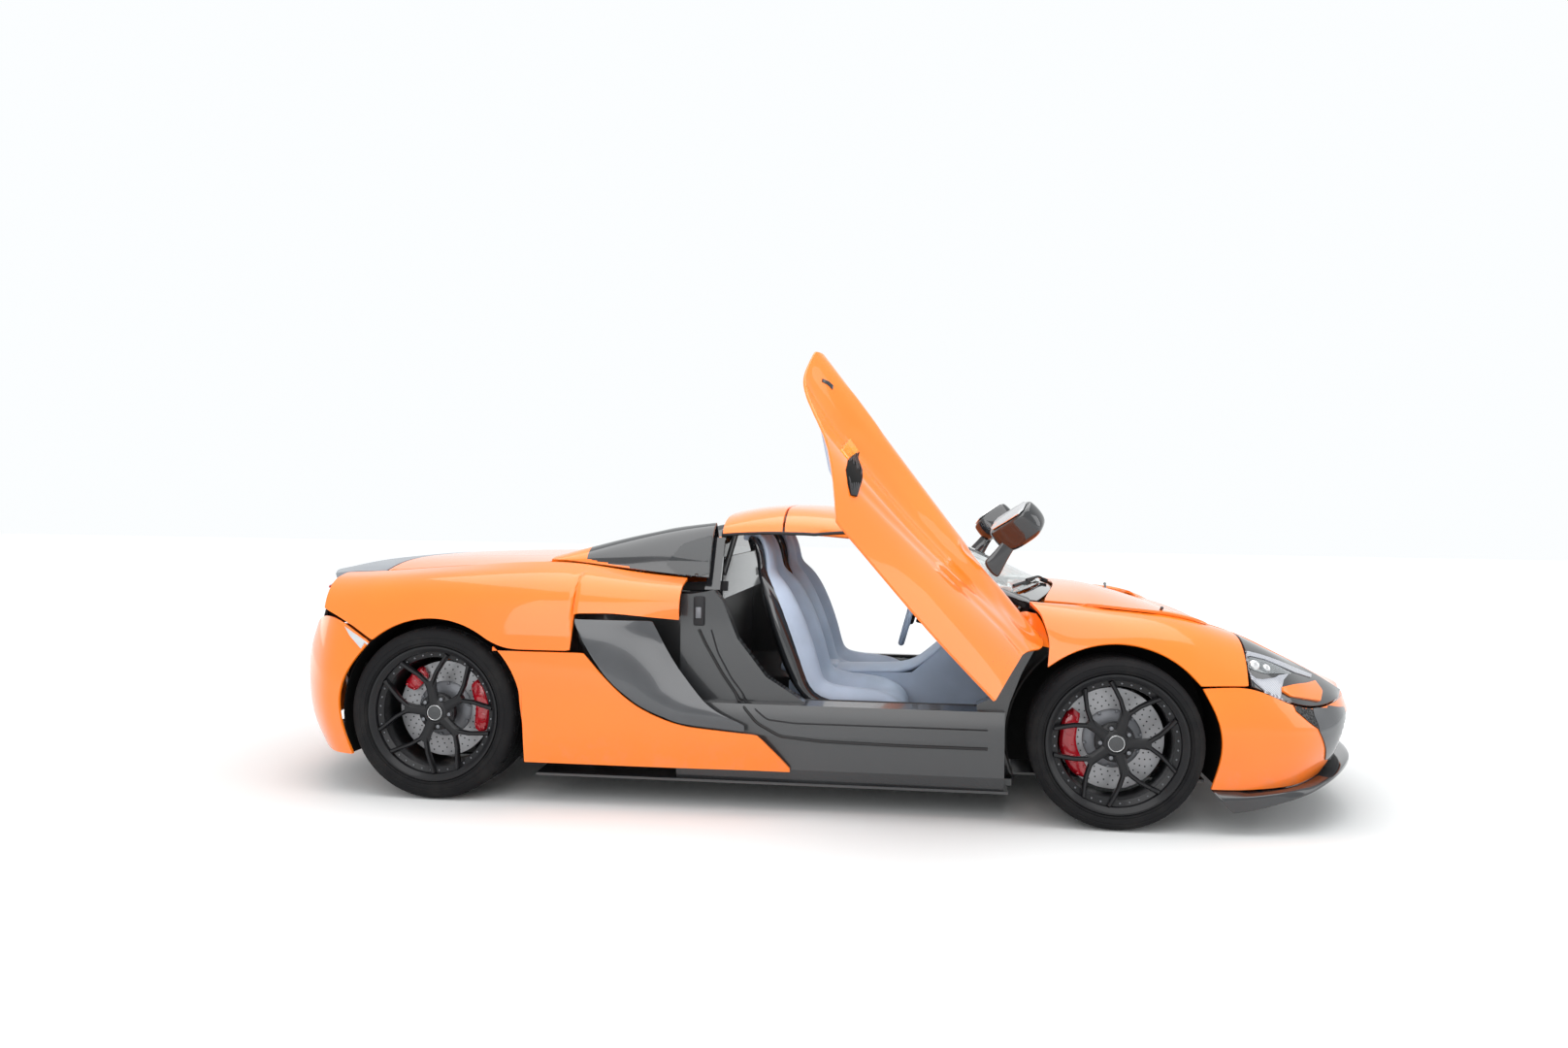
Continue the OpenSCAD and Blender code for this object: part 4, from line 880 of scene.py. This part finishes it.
# door details
doorRight = skins["door_right"]
doorOut = (0.6, -0.3, 0.7)
tab = [[(0.196, -1.330, 1.387), (0.215, -1.108, 1.443)], [(0.221, -1.330, 1.356), (0.246, -1.100, 1.399)]]
both(laid(doorRight, tab, 0.0035, 0.004, 10, 5, doorOut), "door_tab", amber, "door_right")
# a dark sheet laid on the door where the duct opens: painted shade for the duct's depth; the ribs lie over it
mouth = [[(0.223, -1.345, 1.350), (0.251, -1.097, 1.399)],
         [(0.220, -1.405, 1.315), (0.270, -1.226, 1.328)],
         [(0.232, -1.440, 1.267), (0.273, -1.380, 1.268)],
         [(0.245, -1.455, 1.232), (0.262, -1.436, 1.228)]]
both(laid(doorRight, mouth, 0.0022, 0.003, 12, 16, doorOut), "duct_mouth", linerFelt, "door_right")
for k in range(6):
    share = (k + 0.6) / 6.4
    line = [Vector(row[0]).lerp(Vector(row[1]), share) for row in mouth]
    strip(follow(doorRight, line, 0.005, 7, doorOut), 0.0035, "duct_rib_%d" % k, trim, "door_right")
oval = [[(0.114, -1.128, 1.662), (0.139, -1.116, 1.658), (0.153, -1.106, 1.640)],
        [(0.112, -1.132, 1.650), (0.131, -1.119, 1.640), (0.150, -1.110, 1.622)]]
both(laid(doorRight, oval, 0.002, 0.002, 12, 6, doorOut), "door_button", gloss, "door_right")
print("door details built")


# rear quarter
pane = [[(-0.556, -0.728, 0.956), (-0.495, -0.690, 1.032), (-0.437, -0.673, 1.055), (-0.377, -0.663, 1.070)],
        [(-0.535, -0.745, 0.935), (-0.478, -0.728, 0.960), (-0.430, -0.715, 0.985), (-0.377, -0.700, 1.000)],
        [(-0.480, -0.782, 0.900), (-0.450, -0.780, 0.905), (-0.415, -0.775, 0.915), (-0.377, -0.765, 0.925)]]
both(laid(lid, pane, 0.003, 0.003, 20, 12, (-0.1, -1, 0.2)), "quarter_pane", tintGlass, "tonneau")
print("rear quarter built")


# door details drawn with the door shut, then swung open
doorHinge = {"place": (0.825, -0.800, 0.785), "axis": (0.695, -0.531, -0.485), "degrees": -72}
hinge = Vector(doorHinge["place"])
swing = Matrix.Rotation(math.radians(doorHinge["degrees"]), 4, Vector(doorHinge["axis"]).normalized())
opened = Matrix.Translation(hinge) @ swing @ Matrix.Translation(-hinge)


def shell(rings, levels=2):  # closed rings of points joined into one rounded body
    return rounded(capped(rings), levels)


def ovals(places, across, tall, sides):  # an upright ring at each place, scaled by its last number
    turns = [2 * math.pi * k / sides for k in range(sides)]
    return [[(x, y + across * w * math.cos(t), z + tall * w * math.sin(t)) for t in turns]
            for x, y, z, w in places]


mirrorLook = {"centre": (0.590, -0.985, 0.945), "size": (0.062, 0.100, 0.066)}
mirrorAt, mirrorHalf = mirrorLook["centre"], mirrorLook["size"]
rings = []
swells = ((-1.0, 0.30), (-0.96, 0.62), (-0.7, 0.92), (-0.2, 1.0), (0.35, 1.0), (0.8, 0.96), (1.0, 0.90))
for share, swell in swells:
    ring = []
    for k in range(16):
        t = 2 * math.pi * k / 16
        wide, tall = math.cos(t), math.sin(t)
        grow = (abs(wide) ** 4 + abs(tall) ** 4) ** -0.25
        ring.append((mirrorAt[0] - mirrorHalf[0] * share, mirrorAt[1] + mirrorHalf[1] * swell * wide * grow,
                     mirrorAt[2] + mirrorHalf[2] * swell * tall * grow - 0.010 * wide * swell))
    rings.append(ring)
housing = shell(rings)
stalkSection = ((-0.030, 0), (-0.018, 0.012), (0.018, 0.012),
                (0.034, 0), (0.018, -0.012), (-0.018, -0.012))
stalkPath = ((0.640, -0.832, 0.820, 1.7), (0.632, -0.862, 0.838, 1.4), (0.618, -0.905, 0.868, 1.1),
             (0.606, -0.945, 0.905, 1.0), (0.600, -0.975, 0.935, 0.9))
stalk = shell([[(x + dx * w, y, z + dz) for dx, dz in stalkSection] for x, y, z, w in stalkPath])
mirrorBody = movedTo(joined(housing, stalk), opened)
both(mirrorBody, "mirror_skin", gloss, "door_right", 50)
for name in ("mirror_right", "mirror_left"):
    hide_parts(name)
glassOutline = ((-1, -0.55), (-0.8, -0.95), (0, -1), (0.8, -0.95), (1, -0.55),
                (1, 0.55), (0.8, 0.95), (0, 1), (-0.8, 0.95), (-1, 0.55))
glassSpots = [(mirrorAt[0] - mirrorHalf[0] - 0.003, mirrorAt[1] + mirrorHalf[1] * 0.80 * w,
               mirrorAt[2] + mirrorHalf[2] * 0.78 * t) for w, t in glassOutline]
mirrorPane = movedTo(plate(glassSpots, (0.004, 0, 0), 0.001), opened)
both(mirrorPane, "mirror_pane", brightMetal, "door_right", 40)
print("mirrors built")


# seats
seatRows = [  # x, z, half width, bolster height
    (-0.262, 1.040, 0.100, 0.000), (-0.240, 1.068, 0.118, 0.004), (-0.205, 1.058, 0.128, 0.010),
    (-0.190, 0.990, 0.135, 0.020), (-0.184, 0.925, 0.142, 0.024), (-0.178, 0.885, 0.180, 0.040),
    (-0.166, 0.835, 0.226, 0.080), (-0.146, 0.745, 0.246, 0.112), (-0.116, 0.640, 0.248, 0.125),
    (-0.080, 0.545, 0.244, 0.122), (-0.038, 0.455, 0.240, 0.105), (0.016, 0.392, 0.240, 0.090),
    (0.095, 0.358, 0.240, 0.086), (0.190, 0.352, 0.238, 0.080), (0.285, 0.366, 0.232, 0.058),
    (0.355, 0.372, 0.224, 0.030), (0.398, 0.350, 0.218, 0.008), (0.402, 0.285, 0.212, 0.000)]
acrossSeat = [(-1.0, 0.35), (-0.97, 0.72), (-0.88, 1.0), (-0.76, 0.86), (-0.62, 0.34),
              (-0.5, 0.06), (-0.25, 0.0), (0, -0.01), (0.25, 0.0), (0.5, 0.06),
              (0.62, 0.34), (0.76, 0.86), (0.88, 1.0), (0.97, 0.72), (1.0, 0.35)]
seatY = -0.370


def seatPoint(i, t, height, lift):
    x, z, wide, bolster = seatRows[i]
    a, b = seatRows[max(i - 1, 0)], seatRows[min(i + 1, len(seatRows) - 1)]
    way = Vector((b[0] - a[0], 0, b[1] - a[1])).normalized()
    away = Vector((-way.z, 0, way.x))
    return Vector((x, seatY + wide * t, z)) + away * (bolster * height + lift)


rowCount = len(seatRows)
pad = sheet([[seatPoint(i, t, h, 0) for t, h in acrossSeat] for i in range(rowCount)])
modify(pad, "SOLIDIFY", thickness=0.030, offset=-1, use_even_offset=False)
rounded(pad)
both(pad, "seat_pad", leather, "body", 60)
cushion = [(t * 0.50, 0.010 - 0.012 * abs(t) ** 6) for t in (-1, -0.8, -0.4, 0, 0.4, 0.8, 1)]
centre = sheet([[seatPoint(i, t, 0.0, lift) for t, lift in cushion] for i in range(5, rowCount - 2)])
modify(centre, "SOLIDIFY", thickness=0.014, offset=-1)
rounded(centre)
both(centre, "seat_centre", leather, "body", 60)
seatBack = sheet([[seatPoint(i, t * 1.04, h * 0.9, -0.034) for t, h in acrossSeat]
                  for i in range(1, rowCount)])
modify(seatBack, "SOLIDIFY", thickness=0.040, offset=-1, use_even_offset=False)
rounded(seatBack, 1)
both(seatBack, "seat_shell", gloss, "body", 50)
for side in (-1, 1):
    seam = [seatPoint(i, side * 0.56, 0.20, 0.002) for i in range(4, rowCount - 1)]
    strip(seam, 0.0022, "seat_piping_%d" % (side + 1), darkHide, "body")
for side in (-1, 1):
    slit = [seatPoint(4, side * (0.42 + 0.24 * k), 0.0, 0.004) + Vector((0, 0, 0.012 * math.sin(math.pi * k)))
            for k in (0, 0.33, 0.66, 1)]
    strip(slit, 0.010, "harness_slot_%d" % (side + 1), trim)
for name in ("right", "left"):
    for kind in ("seat_pad_", "seat_centre_"):
        bpy.data.objects[kind + name]
    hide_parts("seat_" + name)
buckle = brick((0.02, -0.150, 0.40), (0.055, -0.118, 0.475), 0.006)
both(buckle, "belt_buckle", trim)
button = brick((0.026, -0.146, 0.472), (0.050, -0.122, 0.478), 0.002)
both(button, "buckle_button", caliperRed, "body")
baseSide = [(-0.14, 0.16), (0.36, 0.16), (0.37, 0.30), (0.0, 0.33), (-0.12, 0.36)]
seatBase = plate([(x, -0.60, z) for x, z in baseSide], (0, 0.46, 0), 0.01)
both(seatBase, "seat_base", trim)
print("seats built")


# cabin
consoleRows = [(-0.115, 0.405), (-0.06, 0.432), (0.02, 0.446), (0.14, 0.452), (0.30, 0.456),
               (0.437, 0.462), (0.53, 0.535), (0.62, 0.618), (0.70, 0.668), (0.742, 0.690)]
crown = [(y, 0.006 - 0.02 * abs(y / 0.10) ** 4) for y in (-0.100, -0.085, -0.05, 0, 0.05, 0.085, 0.100)]
top = sheet([[(x, y, z + h) for y, h in crown] for x, z in consoleRows])
modify(top, "SOLIDIFY", thickness=0.02, offset=-1)
rounded(top)
dress(top, "console_top", leather, "body", 50)
band = sheet([[(x, y, z + 0.010) for y in (-0.048, 0, 0.048)] for x, z in consoleRows[3:]])
modify(band, "SOLIDIFY", thickness=0.006, offset=0)
modify(band, "BEVEL", width=0.002, segments=2, limit_method="ANGLE", angle_limit=0.8)
dress(band, "console_band", gloss, "body", 30)
buttonPlaces = ((0.20, 0.464), (0.25, 0.466), (0.30, 0.468), (0.35, 0.469), (0.40, 0.471), (0.56, 0.576),
                (0.60, 0.612), (0.65, 0.646))
buttons = []
for x, z in buttonPlaces:
    for y in (-0.028, 0.0, 0.028):
        buttons.append(brick((x - 0.012, y - 0.010, z - 0.006), (x + 0.012, y + 0.010, z + 0.006), 0.003))
dress(joined(*buttons), "console_buttons", brightMetal, "body", 40)
armrest = brick((-0.16, -0.088, 0.440), (0.10, 0.088, 0.482), 0.016, 3)
dress(armrest, "armrest", leather, "body", 50)

wheelAt = Vector((0.415, 0.370, 0.680))
columnTilt = math.radians(105)
columnWay = Vector((math.sin(columnTilt), 0, math.cos(columnTilt)))
wheelUp = Vector((-columnWay.z, 0, columnWay.x))


def onWheel(r, degrees, ahead=0.0):
    a = math.radians(degrees)
    squash = 1.0 if math.sin(a) > -0.72 else 0.90
    across, rise = r * math.cos(a), r * math.sin(a) * squash
    return wheelAt + Vector((0, 1, 0)) * across + wheelUp * rise + columnWay * ahead


grip = rod([onWheel(0.168, k * 15) for k in range(24)], 0.0155, 4, True)
pads = []
for degrees, wide in ((3, 0.030), (177, 0.030), (270, 0.024)):
    inner, outer = onWheel(0.035, degrees, 0.012), onWheel(0.166, degrees, 0.0)
    pads.append(rod([inner, inner.lerp(outer, 0.4), inner.lerp(outer, 0.75), outer], wide * 0.36, 3))
boss = drum(wheelAt + columnWay * 0.012, columnWay, 0.052, 0.040, 0.012, 36)
dress(grip, "steering_rim", leather, "steering_wheel", 60)
dress(joined(boss, *pads), "steering_boss", trim, "steering_wheel", 40)
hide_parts("steering_wheel")
shaft = drum(wheelAt + columnWay * 0.090, columnWay, 0.034, 0.10, 0.006, 28)
dress(shaft, "steering_shaft", trim, "body", 40)
hoodPlaces = ((0.520, 0.755, 0.115, 0.045), (0.560, 0.760, 0.135, 0.060), (0.640, 0.770, 0.150, 0.058),
              (0.720, 0.765, 0.150, 0.040))
hoodTurns = [k * math.pi / 7 for k in range(14)]
hood = shell([[(x, 0.370 + w * math.cos(t), z + h * math.sin(t)) for t in hoodTurns]
              for x, z, w, h in hoodPlaces], 1)
dress(hood, "binnacle", darkHide, "body", 50)
dials = drum((0.524, 0.370, 0.755), (1, 0, -0.1), 0.052, 0.012, 0.003, 32)
dress(dials, "binnacle_glass", gloss, "body", 40)
print("cabin built")


# door openings
tub = nodes["tub"]
sealPath = [(-0.345, -0.740, 0.825), (-0.312, -0.740, 0.720), (-0.280, -0.740, 0.625),
            (-0.232, -0.740, 0.540), (-0.160, -0.742, 0.462), (-0.080, -0.746, 0.424),
            (0.040, -0.750, 0.422), (0.300, -0.750, 0.422), (0.600, -0.750, 0.422),
            (0.740, -0.750, 0.424)]
strip(follow(tub, sealPath, 0.003, 60, (0.3, 0.2, 1)), 0.0075, "opening_seal", seal)
outerPath = [(-0.395, -0.822, 0.700), (-0.365, -0.822, 0.640), (-0.300, -0.822, 0.530),
             (-0.225, -0.840, 0.425), (-0.150, -0.870, 0.345), (-0.060, -0.884, 0.300),
             (0.100, -0.884, 0.285), (0.400, -0.884, 0.280), (0.740, -0.884, 0.280)]
strip(follow(tub, outerPath, 0.003, 60, (0, -1, 0)), 0.0055, "sill_seal", seal)
ribPath = [(-0.345, -0.822, 0.700), (-0.318, -0.822, 0.610), (-0.262, -0.822, 0.510),
           (-0.190, -0.845, 0.420), (-0.110, -0.872, 0.360), (0.0, -0.878, 0.350),
           (0.400, -0.878, 0.350), (0.740, -0.878, 0.350)]
strip(follow(tub, ribPath, 0.001, 60, (0, -1, 0)), 0.0030, "sill_rib", trim)
both(brick((-0.418, -0.832, 0.715), (-0.372, -0.800, 0.832), 0.008), "latch_block", trim)
latchPlate = brick((-0.408, -0.836, 0.745), (-0.384, -0.826, 0.790), 0.003)
both(latchPlate, "latch_plate", castMetal, "body")
postRows = [[(-0.380, -0.585, 1.055), (-0.335, -0.583, 1.055)],
            [(-0.385, -0.640, 0.955), (-0.335, -0.636, 0.955)],
            [(-0.398, -0.695, 0.845), (-0.335, -0.692, 0.845)]]
both(sheet(postRows, 0.014), "pillar_post", gloss)
print("door openings built")


# last pieces
def press(piece, line, reach, depth, facing):  # sink (or with depth below 0 raise) a skin along a line
    spots = between(line, 60)
    front = Vector(facing).normalized()
    for vertex in piece.data.vertices:
        near = min((vertex.co - spot).length for spot in spots)
        if near < reach:
            share = 0.5 + 0.5 * math.cos(math.pi * near / reach)
            vertex.co -= front * (depth * share)
    piece.data.update()


doorFacing = (0.62, -0.42, 0.66)
creaseLine = [(0.283, -1.383, 1.254), (0.367, -1.340, 1.166), (0.461, -1.280, 1.072), (0.575, -1.203, 0.962),
              (0.691, -1.142, 0.850), (0.782, -1.117, 0.761), (0.844, -1.117, 0.691)]
ridgeLine = [(0.236, -1.094, 1.435), (0.327, -1.062, 1.337), (0.419, -1.035, 1.229), (0.511, -1.003, 1.139),
             (0.604, -0.970, 1.047), (0.745, -0.948, 0.863), (0.834, -1.001, 0.751)]
scoopLine = [(0.651, -0.919, 1.046), (0.700, -0.880, 1.010), (0.760, -0.870, 0.965), (0.820, -0.860, 0.930)]
doorLines = ((creaseLine, 0.045, 0.007), (ridgeLine, 0.060, -0.006), (scoopLine, 0.050, 0.014))
for name, side in (("door_right", 1), ("door_left", -1)):
    facing = (doorFacing[0], doorFacing[1] * side, doorFacing[2])
    for line, reach, depth in doorLines:
        press(skins[name], [(x, y * side, z) for x, y, z in line], reach, depth, facing)
chipped = paintFinish("chippedDoorPaint", {"place": (0.835, -1.215, 0.625), "reach": 0.17})
skins["door_right"].data.materials[0] = chipped

# door linings, drawn shut
armRestPlaces = ((-0.10, -0.762, 0.640, 0.5), (-0.06, -0.752, 0.640, 0.95), (0.10, -0.748, 0.620, 1.1),
                 (0.30, -0.748, 0.600, 1.1), (0.46, -0.750, 0.585, 0.95), (0.52, -0.762, 0.580, 0.5))
armRest = shell(ovals(armRestPlaces, 0.030, 0.028, 12), 1)
both(movedTo(armRest, opened), "door_armrest", leather, "door_right", 60)
pullPlaces = ((-0.185, -0.764, 0.735, 0.5), (-0.175, -0.762, 0.733, 0.9), (-0.120, -0.762, 0.724, 1.0),
              (-0.070, -0.762, 0.716, 0.9), (-0.060, -0.764, 0.714, 0.5))
pull = shell(ovals(pullPlaces, 0.010, 0.022, 10), 1)
both(movedTo(pull, opened), "door_pull", gloss, "door_right", 60)
speakerAt = (0.640, 0.540)
speaker = drum((speakerAt[0], -0.766, speakerAt[1]), (0, 1, 0), 0.068, 0.008, 0.003, 40)
both(movedTo(speaker, opened), "speaker", honeycomb, "door_right")
edgeSpots = [around((speakerAt[0], -0.763, speakerAt[1]), 0.070, k * 15, 0) for k in range(24)]
speakerEdge = rod(edgeSpots, 0.003, 3, True)
both(movedTo(speakerEdge, opened), "speaker_ring", brightMetal, "door_right")
seams = (((-0.10, 0.665), (0.0, 0.67), (0.30, 0.655), (0.60, 0.63)),
         ((-0.02, 0.495), (0.10, 0.49), (0.40, 0.485), (0.60, 0.48)))
for k, line in enumerate(seams):
    seam = movedTo(rod([(x, -0.7655, z) for x, z in line], 0.0022, 3), opened)
    both(seam, "door_seam_%d" % k, darkHide, "door_right")
# a roll of padding along the door's lower edge
roll = rod([(-0.040, -0.806, 0.500), (-0.020, -0.812, 0.462), (0.060, -0.812, 0.452), (0.250, -0.812, 0.450),
            (0.450, -0.812, 0.450), (0.620, -0.808, 0.455), (0.680, -0.800, 0.480)], 0.013, 4)
both(movedTo(roll, opened), "door_roll", leather, "door_right", 60)

# side marker below the shut line, on the bumper's shoulder
markerRows = [[(-1.828, -0.900, 0.682), (-1.750, -0.925, 0.640), (-1.688, -0.930, 0.602)],
              [(-1.800, -0.900, 0.646), (-1.756, -0.925, 0.606), (-1.722, -0.930, 0.576)]]
marker = laid(skins["rear_bumper"], markerRows, 0.004, 0.004, 14, 6, (-0.2, -1, 0.1))
both(marker, "side_marker", markerLens, "body")

# dark sheets behind the slits at the lid's front corners and the rear arches: painted shade where the slits
# look dark
cornerRows = [[(-0.56, -0.620, 0.842), (-0.32, -0.600, 0.842)],
              [(-0.56, -0.610, 0.872), (-0.32, -0.590, 0.880)]]
both(sheet(cornerRows, 0.010), "corner_board", trim)
archRows = [[(-1.875, -0.790, 0.230), (-1.800, -0.800, 0.230)],
            [(-1.890, -0.790, 0.620), (-1.800, -0.800, 0.620)]]
both(sheet(archRows, 0.008), "arch_board", linerFelt)

# roof seals
railPath = [(-0.360, -0.620, 1.030), (-0.200, -0.615, 1.052), (0.000, -0.606, 1.076),
            (0.180, -0.592, 1.094), (0.255, -0.578, 1.100)]
strip(follow(skins["roof"], railPath, 0.002, 30, (0, -0.8, -0.5)), 0.0070, "roof_seal", seal)


def onScreen(f, rise, off):  # a place above the windscreen: f across, rise up from its base
    base = Vector((0.998 - 0.165 * f * f, -0.64 * f, 0.880 - 0.028 * f * f))
    mid = Vector((0.640 - 0.095 * f * f, -0.605 * f, 1.038 - 0.070 * f * f))
    return base.lerp(mid, rise) + Vector((0.35, 0, 0.90)) * off


armPath = ((0.12, -0.05, 0.012), (0.20, 0.02, 0.022), (0.42, 0.055, 0.022), (0.60, 0.09, 0.018))
bladePath = ((0.22, 0.06, 0.010), (0.45, 0.075, 0.010), (0.70, 0.095, 0.010), (0.84, 0.11, 0.010))
wiperArm = rod([onScreen(*spot) for spot in armPath], 0.0055, 3)
wiperBlade = rod([onScreen(*spot) for spot in bladePath], 0.0050, 3)
pivot = drum(onScreen(0.12, -0.05, 0.010), (0.35, 0, 0.9), 0.016, 0.02, 0.003, 20)
dress(joined(wiperArm, wiperBlade, pivot), "wiper", trim)
parking = caliperPiece(wheelSizes["rear"][0], wheelSizes["rear"][1], 118, 152)
both(movedTo(parking, flip), "parking_caliper", caliperRed, "body", 32)
# the wing's rear edge turns in behind the door
wing = skins["front_fenders"]
returnRows = []
for z in (0.672, 0.700, 0.735, 0.765, 0.792):
    near = [v.co for v in wing.data.vertices if abs(v.co.z - z) < 0.014 and v.co.y < -0.6]
    edge = min(near, key=lambda p: p.x)
    returnRows.append([Vector((edge.x + 0.004, edge.y + 0.016, z)),
                       Vector((edge.x - 0.008, edge.y + 0.040, z)),
                       Vector((edge.x - 0.030, edge.y + 0.075, z)),
                       Vector((edge.x - 0.060, min(edge.y + 0.115, -0.765), z))])
both(sheet(returnRows, 0.004, 2), "wing_return", paint, "body")
print("last pieces built")


# stage, lamps and camera
floorLook = {"dark": (0.80, 0.81, 0.81), "pale": (0.84, 0.85, 0.85), "glow": (0.47, 0.485, 0.49),
             "glowStart": 2.4, "glowFull": 7.5, "half": 30, "low": -0.001}


def stagePiece():  # the floor glows a little far from the car
    paper = Finish("palePaper", floorLook["dark"], 0.8)
    paper.put("Base Color", paper.mix(paper.cloud(0.6, 3), floorLook["dark"], floorLook["pale"]))
    away = paper.node("VectorMath", {"operation": "LENGTH"}, {0: paper.place()}, out="Value")
    paper.put("Emission Strength", 1.0)
    fade = away.over(floorLook["glowStart"], floorLook["glowFull"])
    paper.put("Emission Color", paper.mix(fade, (0, 0, 0), floorLook["glow"]))
    wide, low = floorLook["half"], floorLook["low"]
    floor = sheet([[(-wide, -wide, low), (wide, -wide, low)], [(-wide, wide, low), (wide, wide, low)]])
    floor.name = "floor"
    floor.data.materials.append(paper.material)


skyLook = {"colour": (0.97, 0.99, 1.0, 1), "lighting": 0.62, "seen": 1.0}


def skyLight():  # brighter where it is seen straight, in a reflection or through glass than as light
    world = bpy.data.worlds.new("paleRoom")
    bpy.context.scene.world = world
    world.use_nodes = True
    tree = world.node_tree
    tree.nodes.clear()

    def add(kind):
        return tree.nodes.new("ShaderNode" + kind)

    path, blend, sky = add("LightPath"), add("MixShader"), add("OutputWorld")
    seen = path.outputs["Is Camera Ray"]
    for ray in ("Is Glossy Ray", "Is Transmission Ray"):
        larger = add("Math")
        larger.operation = "MAXIMUM"
        tree.links.new(seen, larger.inputs[0])
        tree.links.new(path.outputs[ray], larger.inputs[1])
        seen = larger.outputs[0]
    tree.links.new(seen, blend.inputs[0])
    for place, key in ((1, "lighting"), (2, "seen")):
        background = add("Background")
        background.inputs[0].default_value = skyLook["colour"]
        background.inputs[1].default_value = skyLook[key]
        tree.links.new(background.outputs[0], blend.inputs[place])
    tree.links.new(blend.outputs[0], sky.inputs[0])


lamps = {  # name: place, size, power
    "overhead": ((0.3, -0.6, 5.2), 7.0, 330),
    "camera_side": ((-1.0, -7.5, 3.4), 5.0, 190),
    "nose": ((7.5, -2.0, 2.6), 4.0, 90),
    "tail": ((-7.5, 2.0, 2.6), 4.0, 70),
}


def lightUp():
    for name, (place, size, power) in lamps.items():
        data = bpy.data.lights.new(name, "AREA")
        data.shape, data.size, data.energy = "SQUARE", size, power
        lamp = bpy.data.objects.new(name, data)
        bpy.context.collection.objects.link(lamp)
        lamp.location = place
        lamp.rotation_euler = (Vector((0, 0, 0.5)) - Vector(place)).to_track_quat("-Z", "Y").to_euler()


cameraFacts = {"place": (0.5189, -5.3509, 1.1860), "yaw": -7.2832, "pitch": -0.7735, "roll": 0.7533,
               "hfov": 68.104}


def aim():
    data = bpy.data.cameras.new("view")
    data.sensor_width, data.sensor_fit = 36, "HORIZONTAL"
    data.angle = math.radians(cameraFacts["hfov"])
    camera = bpy.data.objects.new("view", data)
    bpy.context.collection.objects.link(camera)
    yaw, pitch, roll = (math.radians(cameraFacts[k]) for k in ("yaw", "pitch", "roll"))
    ahead = Vector((math.sin(yaw) * math.cos(pitch), math.cos(yaw) * math.cos(pitch), math.sin(pitch)))
    right = Vector((math.cos(yaw), -math.sin(yaw), 0))
    up = right.cross(ahead)
    x = right * math.cos(roll) + up * math.sin(roll)
    y = up * math.cos(roll) - right * math.sin(roll)
    turn = Matrix((x, y, -ahead)).transposed().to_4x4()
    camera.matrix_world = Matrix.Translation(cameraFacts["place"]) @ turn
    bpy.context.scene.camera = camera


stagePiece()
skyLight()
lightUp()
aim()
bpy.context.scene.view_settings.view_transform = "Standard"
print("stage set")
